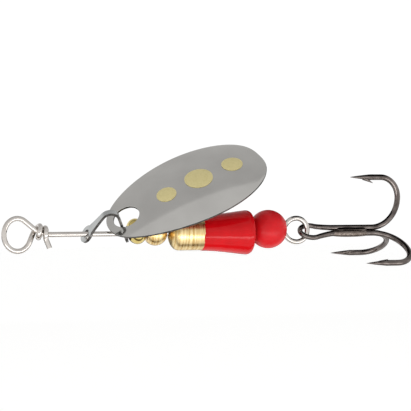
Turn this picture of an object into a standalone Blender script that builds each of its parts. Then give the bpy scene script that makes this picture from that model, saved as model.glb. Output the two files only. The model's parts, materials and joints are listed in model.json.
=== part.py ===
"""Inline spinner: wire shaft, clevis and blade, brass beads and body, red bead and treble hook.

Metres, +Z up. +X runs along the shaft from the line tie to the hook, and the origin is the
centre of the line-tie ring. All the driving dimensions below are in millimetres and degrees.
"""

import math

import bmesh
import bpy
from mathutils import Matrix, Vector

MM = 0.001

# shaft wire
WIRE_D = 0.80
SHAFT_LENGTH = 43.66  # line-tie ring's centre to the rear loop's centre
RING_HALF_LENGTH = 1.98  # line-tie ring, to the wire's centre line
RING_HALF_HEIGHT = 2.42
RING_JOIN = -26.0  # where the wraps' wire runs into the ring, as an angle round it
RING_LEAVE = -302.0  # and where the ring runs out into the shaft
WRAP_GAP = 0.045
WRAP_SPACE = 0.13  # between one wrap and the next
WRAP_START_X = 2.70  # where the tail passes behind the shaft
WRAP_TURNS = 1.60
TAG_DROP = 2.05  # how far the cut tag hangs below the shaft
TAG_LEAN = 0.55
SHAFT_STRAIGHT_X = 5.10
SHAFT_SLOPE = 2.35  # length of the rise towards the ring
SHAFT_CLIMB = 0.118  # rise per square millimetre of run
LOOP_Z = 0.27
LOOP_HALF_HEIGHT = 1.85
LOOP_FRONT = 2.02  # half length of the loop towards the bead
LOOP_REAR = 1.78  # and towards the hook
LOOP_FIRST = 207.0  # where the lower leg runs into the loop, and the upper one out of it
LOOP_LAST = 513.0
LEGS_PART = 0.64  # the legs run side by side up to this far in front of the loop
TAG_INSIDE = 1.75  # cut end of the returned tag, in front of the red bead's middle

# clearances on the wire
NOSE_BORE_CLEAR = 0.10
BODY_BORE_CLEAR = 0.12
SPACER_BORE_CLEAR = 0.70
RED_BORE_CLEAR = 0.1075
CLEVIS_HOLE_CLEAR = 0.26

# red bead
RED_R = 3.00
RED_OVER_LEGS = 0.31  # how far the bead reaches over the loop's front
RED_DROOP = 0.0425  # the bead rests on the tag, off the middle of the two wires
RED_SINK_R = 1.55
RED_SINK_DEPTH = 0.75

# body
BODY_LENGTH = 13.38
BODY_SEAT_GAP = 0.076  # between the rear rim and the red bead
BODY_NOSE_LENGTH = 1.62
BODY_R = 2.66
BODY_FLAT_R = 0.85
BODY_FLARE = 5.34  # plain length, behind the front
BODY_MAX_INSET = 1.09  # widest place, in front of the rim
BODY_MAX_R = 3.34
BODY_SHOULDER_INSET = 0.38
BODY_SHOULDER_R = 2.94
BODY_RIM_R = 1.90
BODY_RECESS = 0.46
BODY_FLOOR_R = 1.30
ENAMEL_START = 5.19  # behind the body's front
ENAMEL_THICKNESS = 0.09
ENAMEL_RIM_THICKNESS = 0.03
ENAMEL_GAP = 0.015

# small beads
NOSE_R = 1.86
NOSE_FLAT_R = 1.24
NOSE_GAP = 0.243  # nose bead to body
SPACER_Z = 0.35
SPACER_HALF_LENGTH = 1.565
SPACER_R = 1.98
SPACER_TILT = 14.0
SPACER_GAP = 0.013  # spacer bead to nose bead
BORE_LAND = 0.05  # flat left round a bore

# clevis
CLEVIS_PHI = 40.0  # how far the blade's plane is turned from straight up, towards the front
CLEVIS_SPACER_GAP = 0.215  # rear eye's middle to the spacer bead's end
CLEVIS_FRONT_SPAN = 3.15
CLEVIS_REAR_SPAN = 2.60
CLEVIS_HEIGHT = 4.05  # shaft centre to the middle of the arch's strip
CLEVIS_ARCH_R = 1.35
CLEVIS_THICKNESS = 0.42
CLEVIS_EYE_RIM = 0.70  # strip left round an eye's hole
CLEVIS_LEG_WIDTH = 1.62
CLEVIS_ARCH_WIDTH = 0.88

# blade
BLADE_LENGTH = 26.4
BLADE_WIDTH = 16.0
BLADE_FULLNESS = 0.363  # lower is blunter at both ends
BLADE_SKEW = 1.216  # over 1 puts the widest place towards the tail
BLADE_CROWN = 13.2  # from the tip to the top of the dome
BLADE_LONG_R = 65.0  # dome radius along the blade
BLADE_CROSS_R = 30.0  # and across it
BLADE_THICKNESS = 0.38
BLADE_SWING = 19.3  # blade's own slope away from the shaft
BLADE_YAW = 17.2  # how far it has swung round in its own plane
BLADE_RIM_DROP = 2.46  # where the rear leg passes the blade's rim, below the clevis's top
BLADE_TIP_AHEAD = 2.236  # blade's tip in front of the rear leg at that height
BLADE_TIP_IN = 1.799  # nearer the shaft than the clevis's top
BLADE_TIP_ASIDE = -0.360  # along the clevis's width
BLADE_HOLE_D = 4.08
BLADE_HOLE_U = 3.16
BLADE_HOLE_W = 0.35
PIVOT_BEHIND = 1.155  # blade's hinge, behind the blade's tip
PIVOT_IN = 0.35  # and nearer the shaft
PIVOT_ASIDE = 0.367
SPOT_U = (10.05, 15.69, 21.57)
SPOT_W = -0.12
SPOT_D = (3.06, 4.36, 3.26)
SPOT_THICKNESS = 0.06
SPOT_GAP = 0.02

# treble hook
HOOK_WIRE_D = 0.92
HOOK_TURN = 84.25  # direction of the upper hook about the shank, 90 is straight up
BUNDLE_CLEAR = 0.035  # shanks' centre lines stand this much further out than touching wires
EYE_SLACK = 0.36  # play between the eye and the rear loop
EYE_HALF_LENGTH = 1.77
EYE_HALF_WIDTH = 1.48
EYE_THINNING = 0.87  # the eye's wire is drawn down a little
EYE_TILT = 50.0  # eye's plane from upright, top away from the viewer
EYE_LEAVE = 62.0  # where the shanks leave the eye, as an angle round it
EYE_NECK = 1.88  # eye's rear to the parallel shanks
SHANK_LENGTH = 6.60  # parallel shanks to the start of the bends
SINGLE_INSET = 0.40  # the third shank is cut off this much further back
BEND_LENGTH = 4.42
BEND_RETURN = 1.40  # bend's end, behind its start
BEND_MID_R = 5.30
POINT_R = 8.58
POINT_REACH = 3.85  # point in front of the bend's start
TAPER_LENGTH = 3.4
BARB_ROOT = 2.30  # behind the point
BARB_TIP = 4.00
BARB_LIFT = 0.95
BRAZE_HEIGHT = 0.294  # braze's outside over the shanks' centre lines
BRAZE_INSET = 0.30
BRAZE_LENGTH = 5.40
BRAZE_CLEAR = 0.012

# places worked out from the sizes above, from the rear loop forwards and then back to the hook
NECK_RISE = WIRE_D + WRAP_GAP  # returned tag over the shaft, centre to centre
WRAP_PITCH = WIRE_D + WRAP_SPACE
LOOP_X = SHAFT_LENGTH
LEGS_X = LOOP_X - LOOP_FRONT - LEGS_PART
RED_X = LOOP_X - LOOP_FRONT - RED_R + RED_OVER_LEGS
RED_Z = NECK_RISE / 2 + RED_DROOP
RED_BORE_R = (WIRE_D + NECK_RISE) / 2 + RED_BORE_CLEAR
TAG_END_X = RED_X - TAG_INSIDE
BODY_BORE_R = WIRE_D / 2 + BODY_BORE_CLEAR
BODY_RIM_X = RED_X - math.sqrt(RED_R**2 - (BODY_RIM_R - RED_Z) ** 2) - BODY_SEAT_GAP
BODY_FRONT_X = BODY_RIM_X - BODY_LENGTH
BODY_FLARE_X = BODY_FRONT_X + BODY_FLARE
BODY_MAX_X = BODY_RIM_X - BODY_MAX_INSET
BODY_SHOULDER_X = BODY_RIM_X - BODY_SHOULDER_INSET
ENAMEL_X = BODY_FRONT_X + ENAMEL_START
NOSE_BORE_R = WIRE_D / 2 + NOSE_BORE_CLEAR
NOSE_REAR_R = NOSE_BORE_R + BORE_LAND
NOSE_X = BODY_FRONT_X - NOSE_GAP - math.sqrt(NOSE_R**2 - NOSE_REAR_R**2)
SPACER_BORE_R = WIRE_D / 2 + SPACER_BORE_CLEAR
SPACER_FLAT_R = SPACER_BORE_R + BORE_LAND
SPACER_END = SPACER_HALF_LENGTH * math.sqrt(1 - (SPACER_FLAT_R / SPACER_R) ** 2)
SPACER_LEAN = math.radians(SPACER_TILT)
SPACER_REACH = SPACER_END * math.cos(SPACER_LEAN) + SPACER_FLAT_R * math.sin(SPACER_LEAN)
SPACER_X = NOSE_X - math.sqrt(NOSE_R**2 - NOSE_FLAT_R**2) - SPACER_REACH - SPACER_GAP
CLEVIS_X = SPACER_X - SPACER_HALF_LENGTH - CLEVIS_REAR_SPAN - CLEVIS_SPACER_GAP
CLEVIS_HOLE_D = WIRE_D + 2 * CLEVIS_HOLE_CLEAR
CLEVIS_EYE_D = CLEVIS_HOLE_D + 2 * CLEVIS_EYE_RIM
EYE_WIRE_R = HOOK_WIRE_D / 2 * EYE_THINNING
EYE_X = LOOP_X + LOOP_REAR - WIRE_D / 2 - EYE_WIRE_R - EYE_SLACK + EYE_HALF_LENGTH
BUNDLE_R = HOOK_WIRE_D / math.sqrt(3) + BUNDLE_CLEAR
SHANK_X = EYE_X + EYE_HALF_LENGTH + EYE_NECK
SINGLE_SHANK_X = SHANK_X + SINGLE_INSET
BEND_START_X = SHANK_X + SHANK_LENGTH
BEND_REAR_X = BEND_START_X + BEND_LENGTH
BEND_END_X = BEND_START_X + BEND_RETURN
POINT_X = BEND_START_X - POINT_REACH
BARB_ROOT_X = POINT_X + BARB_ROOT
BARB_TIP_X = POINT_X + BARB_TIP
BRAZE_R = BUNDLE_R + BRAZE_HEIGHT
BRAZE_FRONT_X = SHANK_X + BRAZE_INSET
BRAZE_REAR_X = BRAZE_FRONT_X + BRAZE_LENGTH

TURN_STEPS = 44


def clear_scene():
    """Empties the file that Blender opened with."""
    for obj in list(bpy.data.objects):
        bpy.data.objects.remove(obj, do_unlink=True)


def new_collection(name, hidden=False):
    """Makes a collection in the scene."""
    made = bpy.data.collections.new(name)
    bpy.context.scene.collection.children.link(made)
    made.hide_render = hidden
    return made


def material(name, colour, metallic, roughness):
    """Makes one Principled material."""
    made = bpy.data.materials.new(name)
    made.use_nodes = True
    shader = made.node_tree.nodes["Principled BSDF"]
    shader.inputs["Base Color"].default_value = (*colour, 1.0)
    shader.inputs["Metallic"].default_value = metallic
    shader.inputs["Roughness"].default_value = roughness
    return made


def point(x, y, z):
    """A point given in millimetres."""
    return Vector((x, y, z)) * MM


def finish_mesh(bm, name, home, skin=None):
    """Turns a bmesh into a named object with outward faces."""
    bmesh.ops.remove_doubles(bm, verts=bm.verts, dist=1e-7)
    bmesh.ops.recalc_face_normals(bm, faces=bm.faces)
    mesh = bpy.data.meshes.new(name)
    bm.to_mesh(mesh)
    bm.free()
    made = bpy.data.objects.new(name, mesh)
    home.objects.link(made)
    if skin is not None:
        mesh.materials.append(skin)
    return made


def hermite(a, ta, b, tb, count):
    """Points on a smooth curve from a to b that leaves along ta and arrives along tb."""
    made = []
    for i in range(1, count + 1):
        t = i / count
        h0 = 2 * t**3 - 3 * t**2 + 1
        h1 = t**3 - 2 * t**2 + t
        h2 = -2 * t**3 + 3 * t**2
        h3 = t**3 - t**2
        made.append(a * h0 + ta * h1 + b * h2 + tb * h3)
    return made


def tube(name, points, diameter, home, skin, scales=None):
    """A round wire along the points, with flat ends. scales thins it point by point."""
    data = bpy.data.curves.new(name + "_path", "CURVE")
    data.dimensions = "3D"
    data.bevel_depth = diameter / 2 * MM
    data.bevel_resolution = 2
    data.use_fill_caps = True
    spline = data.splines.new("POLY")
    spline.points.add(len(points) - 1)
    for i, p in enumerate(points):
        spline.points[i].co = (*p, 1.0)
        spline.points[i].radius = 1.0 if scales is None else scales[i]
    path = bpy.data.objects.new(name + "_path", data)
    home.objects.link(path)
    bpy.context.view_layer.update()
    mesh = bpy.data.meshes.new_from_object(
        path.evaluated_get(bpy.context.evaluated_depsgraph_get())
    )
    bpy.data.objects.remove(path, do_unlink=True)
    bm = bmesh.new()
    bm.from_mesh(mesh)
    bpy.data.meshes.remove(mesh)
    return finish_mesh(bm, name, home, skin)


def lathe(name, profile, home, skin, steps=TURN_STEPS):
    """Turns a closed outline of (x, radius) pairs round the X axis."""
    bm = bmesh.new()
    ring = [bm.verts.new(point(x, 0, r)) for x, r in profile]
    edges = [bm.edges.new((ring[i - 1], ring[i])) for i in range(len(ring))]
    bmesh.ops.spin(
        bm,
        geom=ring + edges,
        cent=(0, 0, 0),
        axis=(1, 0, 0),
        angle=2 * math.pi,
        steps=steps,
        use_merge=True,
    )
    return finish_mesh(bm, name, home, skin)


def cylinder(name, radius, start, end, home, steps=32):
    """A plain round cutter between two points."""
    bm = bmesh.new()
    along = end - start
    turn = along.to_track_quat("Z", "Y").to_matrix().to_4x4()
    bmesh.ops.create_cone(
        bm,
        cap_ends=True,
        segments=steps,
        radius1=radius * MM,
        radius2=radius * MM,
        depth=along.length,
        matrix=Matrix.Translation((start + end) / 2) @ turn,
    )
    made = finish_mesh(bm, name, home)
    made.display_type = "WIRE"
    made.hide_render = True
    return made


def boolean(target, tool, operation):
    """Applies one exact boolean to the target's mesh."""
    step = target.modifiers.new(operation.lower(), "BOOLEAN")
    step.operation = operation
    step.solver = "EXACT"
    step.object = tool
    bpy.context.view_layer.update()
    done = bpy.data.meshes.new_from_object(
        target.evaluated_get(bpy.context.evaluated_depsgraph_get())
    )
    target.modifiers.clear()
    bm = bmesh.new()
    bm.from_mesh(done)
    bmesh.ops.remove_doubles(bm, verts=bm.verts, dist=1e-6)
    bmesh.ops.dissolve_degenerate(bm, edges=bm.edges, dist=1e-6)
    bm.to_mesh(target.data)
    bm.free()
    bpy.data.meshes.remove(done)
    return target


# ---------------------------------------------------------------- shaft wire


def ring_point(angle):
    """A point on the line-tie ring's centre line, angle from +X towards +Z."""
    a = math.radians(angle)
    return point(RING_HALF_LENGTH * math.cos(a), 0, RING_HALF_HEIGHT * math.sin(a))


def ring_direction(angle):
    """Unit direction along the ring for a growing angle."""
    a = math.radians(angle)
    across = -RING_HALF_LENGTH * math.sin(a)
    return Vector((across, 0, RING_HALF_HEIGHT * math.cos(a))).normalized()


def shaft_rise(x):
    """Height of the shaft's centre line, which climbs towards the ring inside the wraps."""
    over = max(0.0, SHAFT_STRAIGHT_X - x)
    return SHAFT_CLIMB * over**2


def shaft_points():
    """The whole centre line of the shaft wire, from the cut tag to the returned tag."""
    radius = WIRE_D + WRAP_GAP
    wraps = []
    count = 42
    for i in range(count + 1):
        turn = WRAP_TURNS * i / count
        x = WRAP_START_X + WRAP_PITCH * turn
        # starts behind the shaft, then over the top and down the front
        around = math.radians(-90 + 360 * turn)
        lean = math.atan(-2 * SHAFT_CLIMB * max(0.0, SHAFT_STRAIGHT_X - x))
        out = Vector((-math.sin(lean) * math.cos(around), -math.sin(around), 0))
        out.z = math.cos(lean) * math.cos(around)
        wraps.append(point(x, 0, shaft_rise(x)) + out * radius * MM)
    tag_end = point(wraps[-1].x / MM + TAG_LEAN, wraps[-1].y / MM, -TAG_DROP)
    leaving = (wraps[-1] - wraps[-2]).normalized()
    tag = hermite(wraps[-1], leaving * 1.2 * MM, tag_end, point(0.25, 0, -1.2), 6)
    path = tag[::-1] + wraps[::-1]
    # from behind the shaft down into the ring's lower side
    start = RING_JOIN
    join = ring_point(start)
    arriving = (wraps[0] - wraps[1]).normalized()
    path += hermite(wraps[0], arriving * 1.1 * MM, join, -ring_direction(start) * 0.9 * MM, 8)
    # round the ring the long way, underneath and then over the top
    end = RING_LEAVE
    count = 30
    for i in range(1, count + 1):
        path.append(ring_point(start + (end - start) * i / count))
    # down the slope and on to the shaft
    foot = SHAFT_STRAIGHT_X - SHAFT_SLOPE
    landing = point(foot, 0, shaft_rise(foot))
    slope = Vector((1, 0, -2 * SHAFT_CLIMB * SHAFT_SLOPE)).normalized()
    path += hermite(path[-1], -ring_direction(end) * 1.5 * MM, landing, slope * 1.1 * MM, 10)
    for i in range(1, 9):
        x = SHAFT_STRAIGHT_X - SHAFT_SLOPE * (1 - i / 8)
        path.append(point(x, 0, shaft_rise(x)))
    # straight through the clevis, the beads and the body
    path.append(point(TAG_END_X, 0, 0))
    neck = point(LEGS_X, 0, 0)
    path.append(neck)
    # the rear loop, from the lower leg round to the upper one
    first = loop_point(LOOP_FIRST)
    path += hermite(
        neck, Vector((0.95 * MM, 0, 0)), first, loop_direction(LOOP_FIRST) * 1.35 * MM, 10
    )
    for i in range(1, 29):
        path.append(loop_point(LOOP_FIRST + (LOOP_LAST - LOOP_FIRST) * i / 28))
    back = point(LEGS_X, 0, NECK_RISE)
    path += hermite(
        path[-1], loop_direction(LOOP_LAST) * 1.35 * MM, back, Vector((-0.95 * MM, 0, 0)), 10
    )
    path.append(point(TAG_END_X, 0, NECK_RISE))
    return path


def loop_point(angle):
    """A point on the rear loop's centre line, angle from +X towards +Z."""
    a = math.radians(angle)
    half = LOOP_REAR if math.cos(a) > 0 else LOOP_FRONT
    return point(LOOP_X + half * math.cos(a), 0, LOOP_Z + LOOP_HALF_HEIGHT * math.sin(a))


def loop_direction(angle):
    """Unit direction along the rear loop for a growing angle."""
    a = math.radians(angle)
    half = LOOP_REAR if math.cos(a) > 0 else LOOP_FRONT
    return Vector((-half * math.sin(a), 0, LOOP_HALF_HEIGHT * math.cos(a))).normalized()


# ---------------------------------------------------------------- clevis and blade


def clevis_axes():
    """The clevis's outward direction and its width direction."""
    a = math.radians(CLEVIS_PHI)
    outward = Vector((0, -math.sin(a), math.cos(a)))
    across = Vector((0, math.cos(a), math.sin(a)))
    return outward, across


def clevis_line(side):
    """Slope and length of the leg on one side (-1 front, 1 rear), and the arch's centre height."""
    centre = CLEVIS_HEIGHT - CLEVIS_ARCH_R
    span = CLEVIS_REAR_SPAN if side > 0 else CLEVIS_FRONT_SPAN
    # slope at which a line from the eye touches the arch
    reach = math.hypot(span, centre)
    slope = math.atan2(centre, span) + math.asin(CLEVIS_ARCH_R / reach)
    leg = math.sqrt(reach**2 - CLEVIS_ARCH_R**2)
    return slope, leg, centre


def clevis_at(s):
    """Place and tangent angle at distance s along the strip, measured from the apex."""
    side = 1 if s >= 0 else -1
    slope, leg, centre = clevis_line(side)
    arc = slope * CLEVIS_ARCH_R
    d = abs(s)
    if d <= arc:
        a = d / CLEVIS_ARCH_R
        return side * CLEVIS_ARCH_R * math.sin(a), centre + CLEVIS_ARCH_R * math.cos(a), -side * a
    x = CLEVIS_ARCH_R * math.sin(slope) + (d - arc) * math.cos(slope)
    h = centre + CLEVIS_ARCH_R * math.cos(slope) - (d - arc) * math.sin(slope)
    return side * x, h, -side * slope


def clevis_leg_reach(drop):
    """How far behind the clevis's top its rear leg is, at a distance below the top."""
    slope, _, _ = clevis_line(1)
    bend_drop = CLEVIS_ARCH_R * (1 - math.cos(slope))
    return CLEVIS_ARCH_R * math.sin(slope) + (drop - bend_drop) / math.tan(slope)


def clevis_eye(side):
    """Distance along the strip from the apex to the middle of one eye."""
    slope, leg, _ = clevis_line(side)
    return slope * CLEVIS_ARCH_R + leg


def clevis_width(s):
    """Strip width at distance s from the apex."""
    side = 1 if s >= 0 else -1
    slope, leg, _ = clevis_line(side)
    d = abs(s)
    eye = clevis_eye(side)
    radius = CLEVIS_EYE_D / 2
    t = min(1.0, d / (slope * CLEVIS_ARCH_R + leg * 0.75))
    strip = CLEVIS_ARCH_WIDTH + (CLEVIS_LEG_WIDTH - CLEVIS_ARCH_WIDTH) * t * t
    if d > eye + radius:
        return 0.0
    if d > eye - radius:
        disc = 2 * math.sqrt(max(0.0, radius**2 - (d - eye) ** 2))
        return max(strip, disc) if d < eye else disc
    return strip


def clevis_stations(side):
    """Distances from the apex at which the strip's outline is drawn, on one side."""
    eye = clevis_eye(side)
    radius = CLEVIS_EYE_D / 2
    made = [side * (eye - radius) * i / 15 for i in range(15)]
    made += [side * (eye - radius * math.cos(math.pi * i / 14)) for i in range(15)]
    return made


def clevis_blank(home, skin):
    """The folded strip, before its eyes are pierced."""
    outward, across = clevis_axes()
    stations = clevis_stations(-1)[:0:-1] + clevis_stations(1)
    lanes = 6
    bm = bmesh.new()
    rows = []
    for s in stations:
        x, h, angle = clevis_at(s)
        normal = Vector((-math.sin(angle), 0, 0)) + outward * math.cos(angle)
        middle = point(CLEVIS_X + x, 0, 0) + outward * h * MM
        width = clevis_width(s)
        top = []
        under = []
        for j in range(lanes + 1):
            v = (j / lanes - 0.5) * width
            place = middle + across * v * MM
            top.append(bm.verts.new(place + normal * CLEVIS_THICKNESS / 2 * MM))
            under.append(bm.verts.new(place - normal * CLEVIS_THICKNESS / 2 * MM))
        rows.append((top, under))
    for (top0, under0), (top1, under1) in zip(rows, rows[1:]):
        for j in range(lanes):
            bm.faces.new((top0[j], top1[j], top1[j + 1], top0[j + 1]))
            bm.faces.new((under0[j], under0[j + 1], under1[j + 1], under1[j]))
        bm.faces.new((top0[0], under0[0], under1[0], top1[0]))
        bm.faces.new((top0[-1], top1[-1], under1[-1], under0[-1]))
    bmesh.ops.remove_doubles(bm, verts=bm.verts, dist=1e-6)
    bmesh.ops.dissolve_degenerate(bm, edges=bm.edges, dist=1e-6)
    return finish_mesh(bm, "clevis", home, skin)


def pierce_clevis(blank, cutters):
    """Cuts the two eyes' holes square to the strip."""
    outward, _ = clevis_axes()
    for side, label in ((-1, "front"), (1, "rear")):
        x, h, angle = clevis_at(side * clevis_eye(side))
        normal = Vector((-math.sin(angle), 0, 0)) + outward * math.cos(angle)
        middle = point(CLEVIS_X + x, 0, 0) + outward * h * MM
        start = middle - normal * MM
        end = middle + normal * MM
        tool = cylinder("clevis_hole_" + label, CLEVIS_HOLE_D / 2, start, end, cutters)
        boolean(blank, tool, "DIFFERENCE")


def blade_frame():
    """The blade's length, width and outward directions."""
    outward, _ = clevis_axes()
    a = math.radians(BLADE_SWING)
    along = Vector((math.cos(a), 0, 0)) + outward * math.sin(a)
    normal = Vector((-math.sin(a), 0, 0)) + outward * math.cos(a)
    side = normal.cross(along)
    y = math.radians(BLADE_YAW)
    length = along * math.cos(y) + side * math.sin(y)
    width = side * math.cos(y) - along * math.sin(y)
    return length, width, normal


def blade_tip():
    """The blade's tip, in millimetres, just inside the clevis's arch."""
    outward, across = clevis_axes()
    tip = outward * (CLEVIS_HEIGHT - BLADE_TIP_IN) + across * BLADE_TIP_ASIDE
    tip.x = CLEVIS_X + clevis_leg_reach(BLADE_RIM_DROP) - BLADE_TIP_AHEAD
    return tip


def blade_place(u, w, lift=0.0):
    """A point of the blade's mid surface, moved out along the local normal by lift."""
    length, width, normal = blade_frame()
    du = u - BLADE_CROWN
    drop = du**2 / (2 * BLADE_LONG_R) + w**2 / (2 * BLADE_CROSS_R)
    local = normal + length * (du / BLADE_LONG_R) + width * (w / BLADE_CROSS_R)
    local.normalize()
    flat = length * u + width * w - normal * drop + local * lift
    return (blade_tip() + flat) * MM


def blade_outline(count):
    """The blade's outline as (u, w) pairs, round from the tip."""
    made = []
    for i in range(count):
        a = 2 * math.pi * i / count
        t = (1 - math.cos(a)) / 2
        half = BLADE_WIDTH / 2 * abs(math.sin(math.pi * t**BLADE_SKEW)) ** BLADE_FULLNESS
        made.append((t * BLADE_LENGTH, half if a < math.pi else -half))
    return made


def patch(name, rim, centre, rings, low, high, home, skin):
    """A closed sheet between two heights over the blade, inside an outline."""
    bm = bmesh.new()
    layers = []
    for lift in (low, high):
        middle = bm.verts.new(blade_place(*centre, lift))
        rows = []
        for k in range(1, rings + 1):
            f = math.sin(math.pi / 2 * k / rings) if rings > 4 else k / rings
            rows.append(
                [
                    bm.verts.new(
                        blade_place(
                            centre[0] + (u - centre[0]) * f, centre[1] + (w - centre[1]) * f, lift
                        )
                    )
                    for u, w in rim
                ]
            )
        layers.append((middle, rows))
    n = len(rim)
    for middle, rows in layers:
        for i in range(n):
            bm.faces.new((middle, rows[0][i], rows[0][(i + 1) % n]))
        for a, b in zip(rows, rows[1:]):
            for i in range(n):
                bm.faces.new((a[i], b[i], b[(i + 1) % n], a[(i + 1) % n]))
    outer0 = layers[0][1][-1]
    outer1 = layers[1][1][-1]
    for i in range(n):
        bm.faces.new((outer0[i], outer1[i], outer1[(i + 1) % n], outer0[(i + 1) % n]))
    return finish_mesh(bm, name, home, skin)


def blade(home, cutters, skin):
    """The domed blade with its hole."""
    half = BLADE_THICKNESS / 2
    centre = (BLADE_LENGTH * 0.54, 0.0)
    made = patch("blade", blade_outline(88), centre, 9, -half, half, home, skin)
    _, _, normal = blade_frame()
    at = blade_place(BLADE_HOLE_U, BLADE_HOLE_W)
    tool = cylinder(
        "blade_hole", BLADE_HOLE_D / 2, at - normal * 2 * MM, at + normal * 2 * MM, cutters, 40
    )
    return boolean(made, tool, "DIFFERENCE")


def spots(home, skin):
    """The three foil spots, each a thin disc that follows the dome."""
    base = BLADE_THICKNESS / 2 + SPOT_GAP
    made = []
    for label, u, across in zip(("front", "middle", "rear"), SPOT_U, SPOT_D):
        rim = []
        for i in range(36):
            a = 2 * math.pi * i / 36
            rim.append((u + across / 2 * math.cos(a), SPOT_W + across / 2 * math.sin(a)))
        top = base + SPOT_THICKNESS
        made.append(patch("spot_" + label, rim, (u, SPOT_W), 3, base, top, home, skin))
    return made


# ---------------------------------------------------------------- beads and body


def bead_profile(centre, half_length, radius, bore, front_flat, rear_flat, steps=20):
    """Closed outline of a drilled bead whose ends are cut flat at the given radii."""
    first = math.asin(front_flat / radius)
    last = math.pi - math.asin(rear_flat / radius)
    outline = []
    for i in range(steps + 1):
        a = first + (last - first) * i / steps
        outline.append((centre - half_length * math.cos(a), radius * math.sin(a)))
    outline.append((outline[-1][0], bore))
    outline.append((outline[0][0], bore))
    return outline


def spacer_bead(home, skin):
    """The flattened bead, leaning forwards on the wire."""
    flat = SPACER_FLAT_R
    outline = bead_profile(0, SPACER_HALF_LENGTH, SPACER_R, SPACER_BORE_R, flat, flat)
    made = lathe("spacer_bead", outline, home, skin)
    lean = Matrix.Rotation(math.radians(-SPACER_TILT), 4, "Y")
    made.data.transform(Matrix.Translation(point(SPACER_X, 0, SPACER_Z)) @ lean)
    return made


def nose_bead(home, skin):
    """The round nose bead, with a flat on its front."""
    outline = bead_profile(NOSE_X, NOSE_R, NOSE_R, NOSE_BORE_R, NOSE_FLAT_R, NOSE_REAR_R)
    return lathe("nose_bead", outline, home, skin)


def red_bead(home, skin):
    """The round bead, its bore wide enough for the shaft and the returned tag side by side."""
    front = RED_BORE_R + BORE_LAND
    last = RED_SINK_R
    outline = bead_profile(RED_X, RED_R, RED_R, RED_BORE_R, front, last, 26)
    rear = outline[-2][0]
    outline[-2:-1] = [(rear - RED_SINK_DEPTH, RED_BORE_R)]
    made = lathe("red_bead", outline, home, skin)
    made.data.transform(Matrix.Translation(point(0, 0, RED_Z)))
    return made


def body_outer():
    """The body's outside from the front flat to the rear rim, as (x, radius) pairs."""
    made = []
    for i in range(9):
        r = BODY_FLAT_R + (BODY_R - BODY_FLAT_R) * math.sin(math.pi / 2 * i / 8)
        run = 1 - math.sqrt(max(0.0, 1 - (r / BODY_R) ** 2))
        made.append((BODY_FRONT_X + BODY_NOSE_LENGTH * run, r))
    made.append((BODY_FLARE_X, BODY_R))
    for i in range(1, 13):
        t = i / 12
        grow = t * t * (1.9 - 0.9 * t)
        x = BODY_FLARE_X + (BODY_MAX_X - BODY_FLARE_X) * t
        made.append((x, BODY_R + (BODY_MAX_R - BODY_R) * min(1.0, grow)))
    for i in range(1, 6):
        a = math.pi / 2 * i / 5
        x = BODY_MAX_X + (BODY_SHOULDER_X - BODY_MAX_X) * math.sin(a)
        made.append((x, BODY_SHOULDER_R + (BODY_MAX_R - BODY_SHOULDER_R) * math.cos(a)))
    made.append((BODY_RIM_X, BODY_RIM_R))
    return made


def body(home, skin):
    """The turned body with its bore and the seat for the red bead."""
    outline = body_outer()
    outline.append((BODY_RIM_X - BODY_RECESS, BODY_FLOOR_R))
    outline.append((BODY_RIM_X - BODY_RECESS, BODY_BORE_R))
    outline.append((BODY_FRONT_X, BODY_BORE_R))
    return lathe("body", outline, home, skin)


def enamel(home, skin):
    """The red coat: a thin shell over the body's rear."""
    outer = [p for p in body_outer() if p[0] > ENAMEL_X + 0.3]
    first = (ENAMEL_X, BODY_R)
    line = [first] + outer
    inside = []
    outside = []
    for i, (x, r) in enumerate(line):
        before = line[max(0, i - 1)]
        after = line[min(len(line) - 1, i + 1)]
        along = Vector((after[0] - before[0], after[1] - before[1], 0)).normalized()
        inside.append((x - along.y * ENAMEL_GAP, r + along.x * ENAMEL_GAP))
        thick = ENAMEL_GAP + ENAMEL_THICKNESS
        if i == len(line) - 1:
            thick = ENAMEL_GAP + ENAMEL_RIM_THICKNESS
        outside.append((x - along.y * thick, r + along.x * thick))
    return lathe("enamel", outside + inside[::-1], home, skin)


# ---------------------------------------------------------------- treble hook


def hook_direction(angle):
    """Unit direction out from the shank."""
    a = math.radians(angle)
    return Vector((0, -math.cos(a), math.sin(a)))


def bent_hook(angle):
    """One hook's centre line from the shank to the point, with the wire's scale at each."""
    out = hook_direction(angle)

    def at(x, r):
        return point(x, 0, 0) + out * r * MM

    k = 1.66
    a = at(BEND_START_X, BUNDLE_R)
    b = at(BEND_REAR_X, BEND_MID_R)
    c = at(BEND_END_X, POINT_R)
    d = at(POINT_X, POINT_R)
    long = (BEND_REAR_X - BEND_START_X) * k * MM
    rise = (BEND_MID_R - BUNDLE_R) * k * MM
    line = [a]
    line += hermite(a, Vector((long, 0, 0)), b, out * rise, 16)
    long = (BEND_REAR_X - BEND_END_X) * k * MM
    rise = (POINT_R - BEND_MID_R) * k * MM
    line += hermite(b, out * rise, c, Vector((-long, 0, 0)), 14)
    scales = [1.0] * len(line)
    steps = 10
    for i in range(1, steps + 1):
        x = BEND_END_X + (POINT_X - BEND_END_X) * i / steps
        line.append(at(x, POINT_R))
        left = x - POINT_X
        scales.append(1.0 if left > TAPER_LENGTH else max(0.06, (left / TAPER_LENGTH) ** 0.75))
    return line, scales


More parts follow.
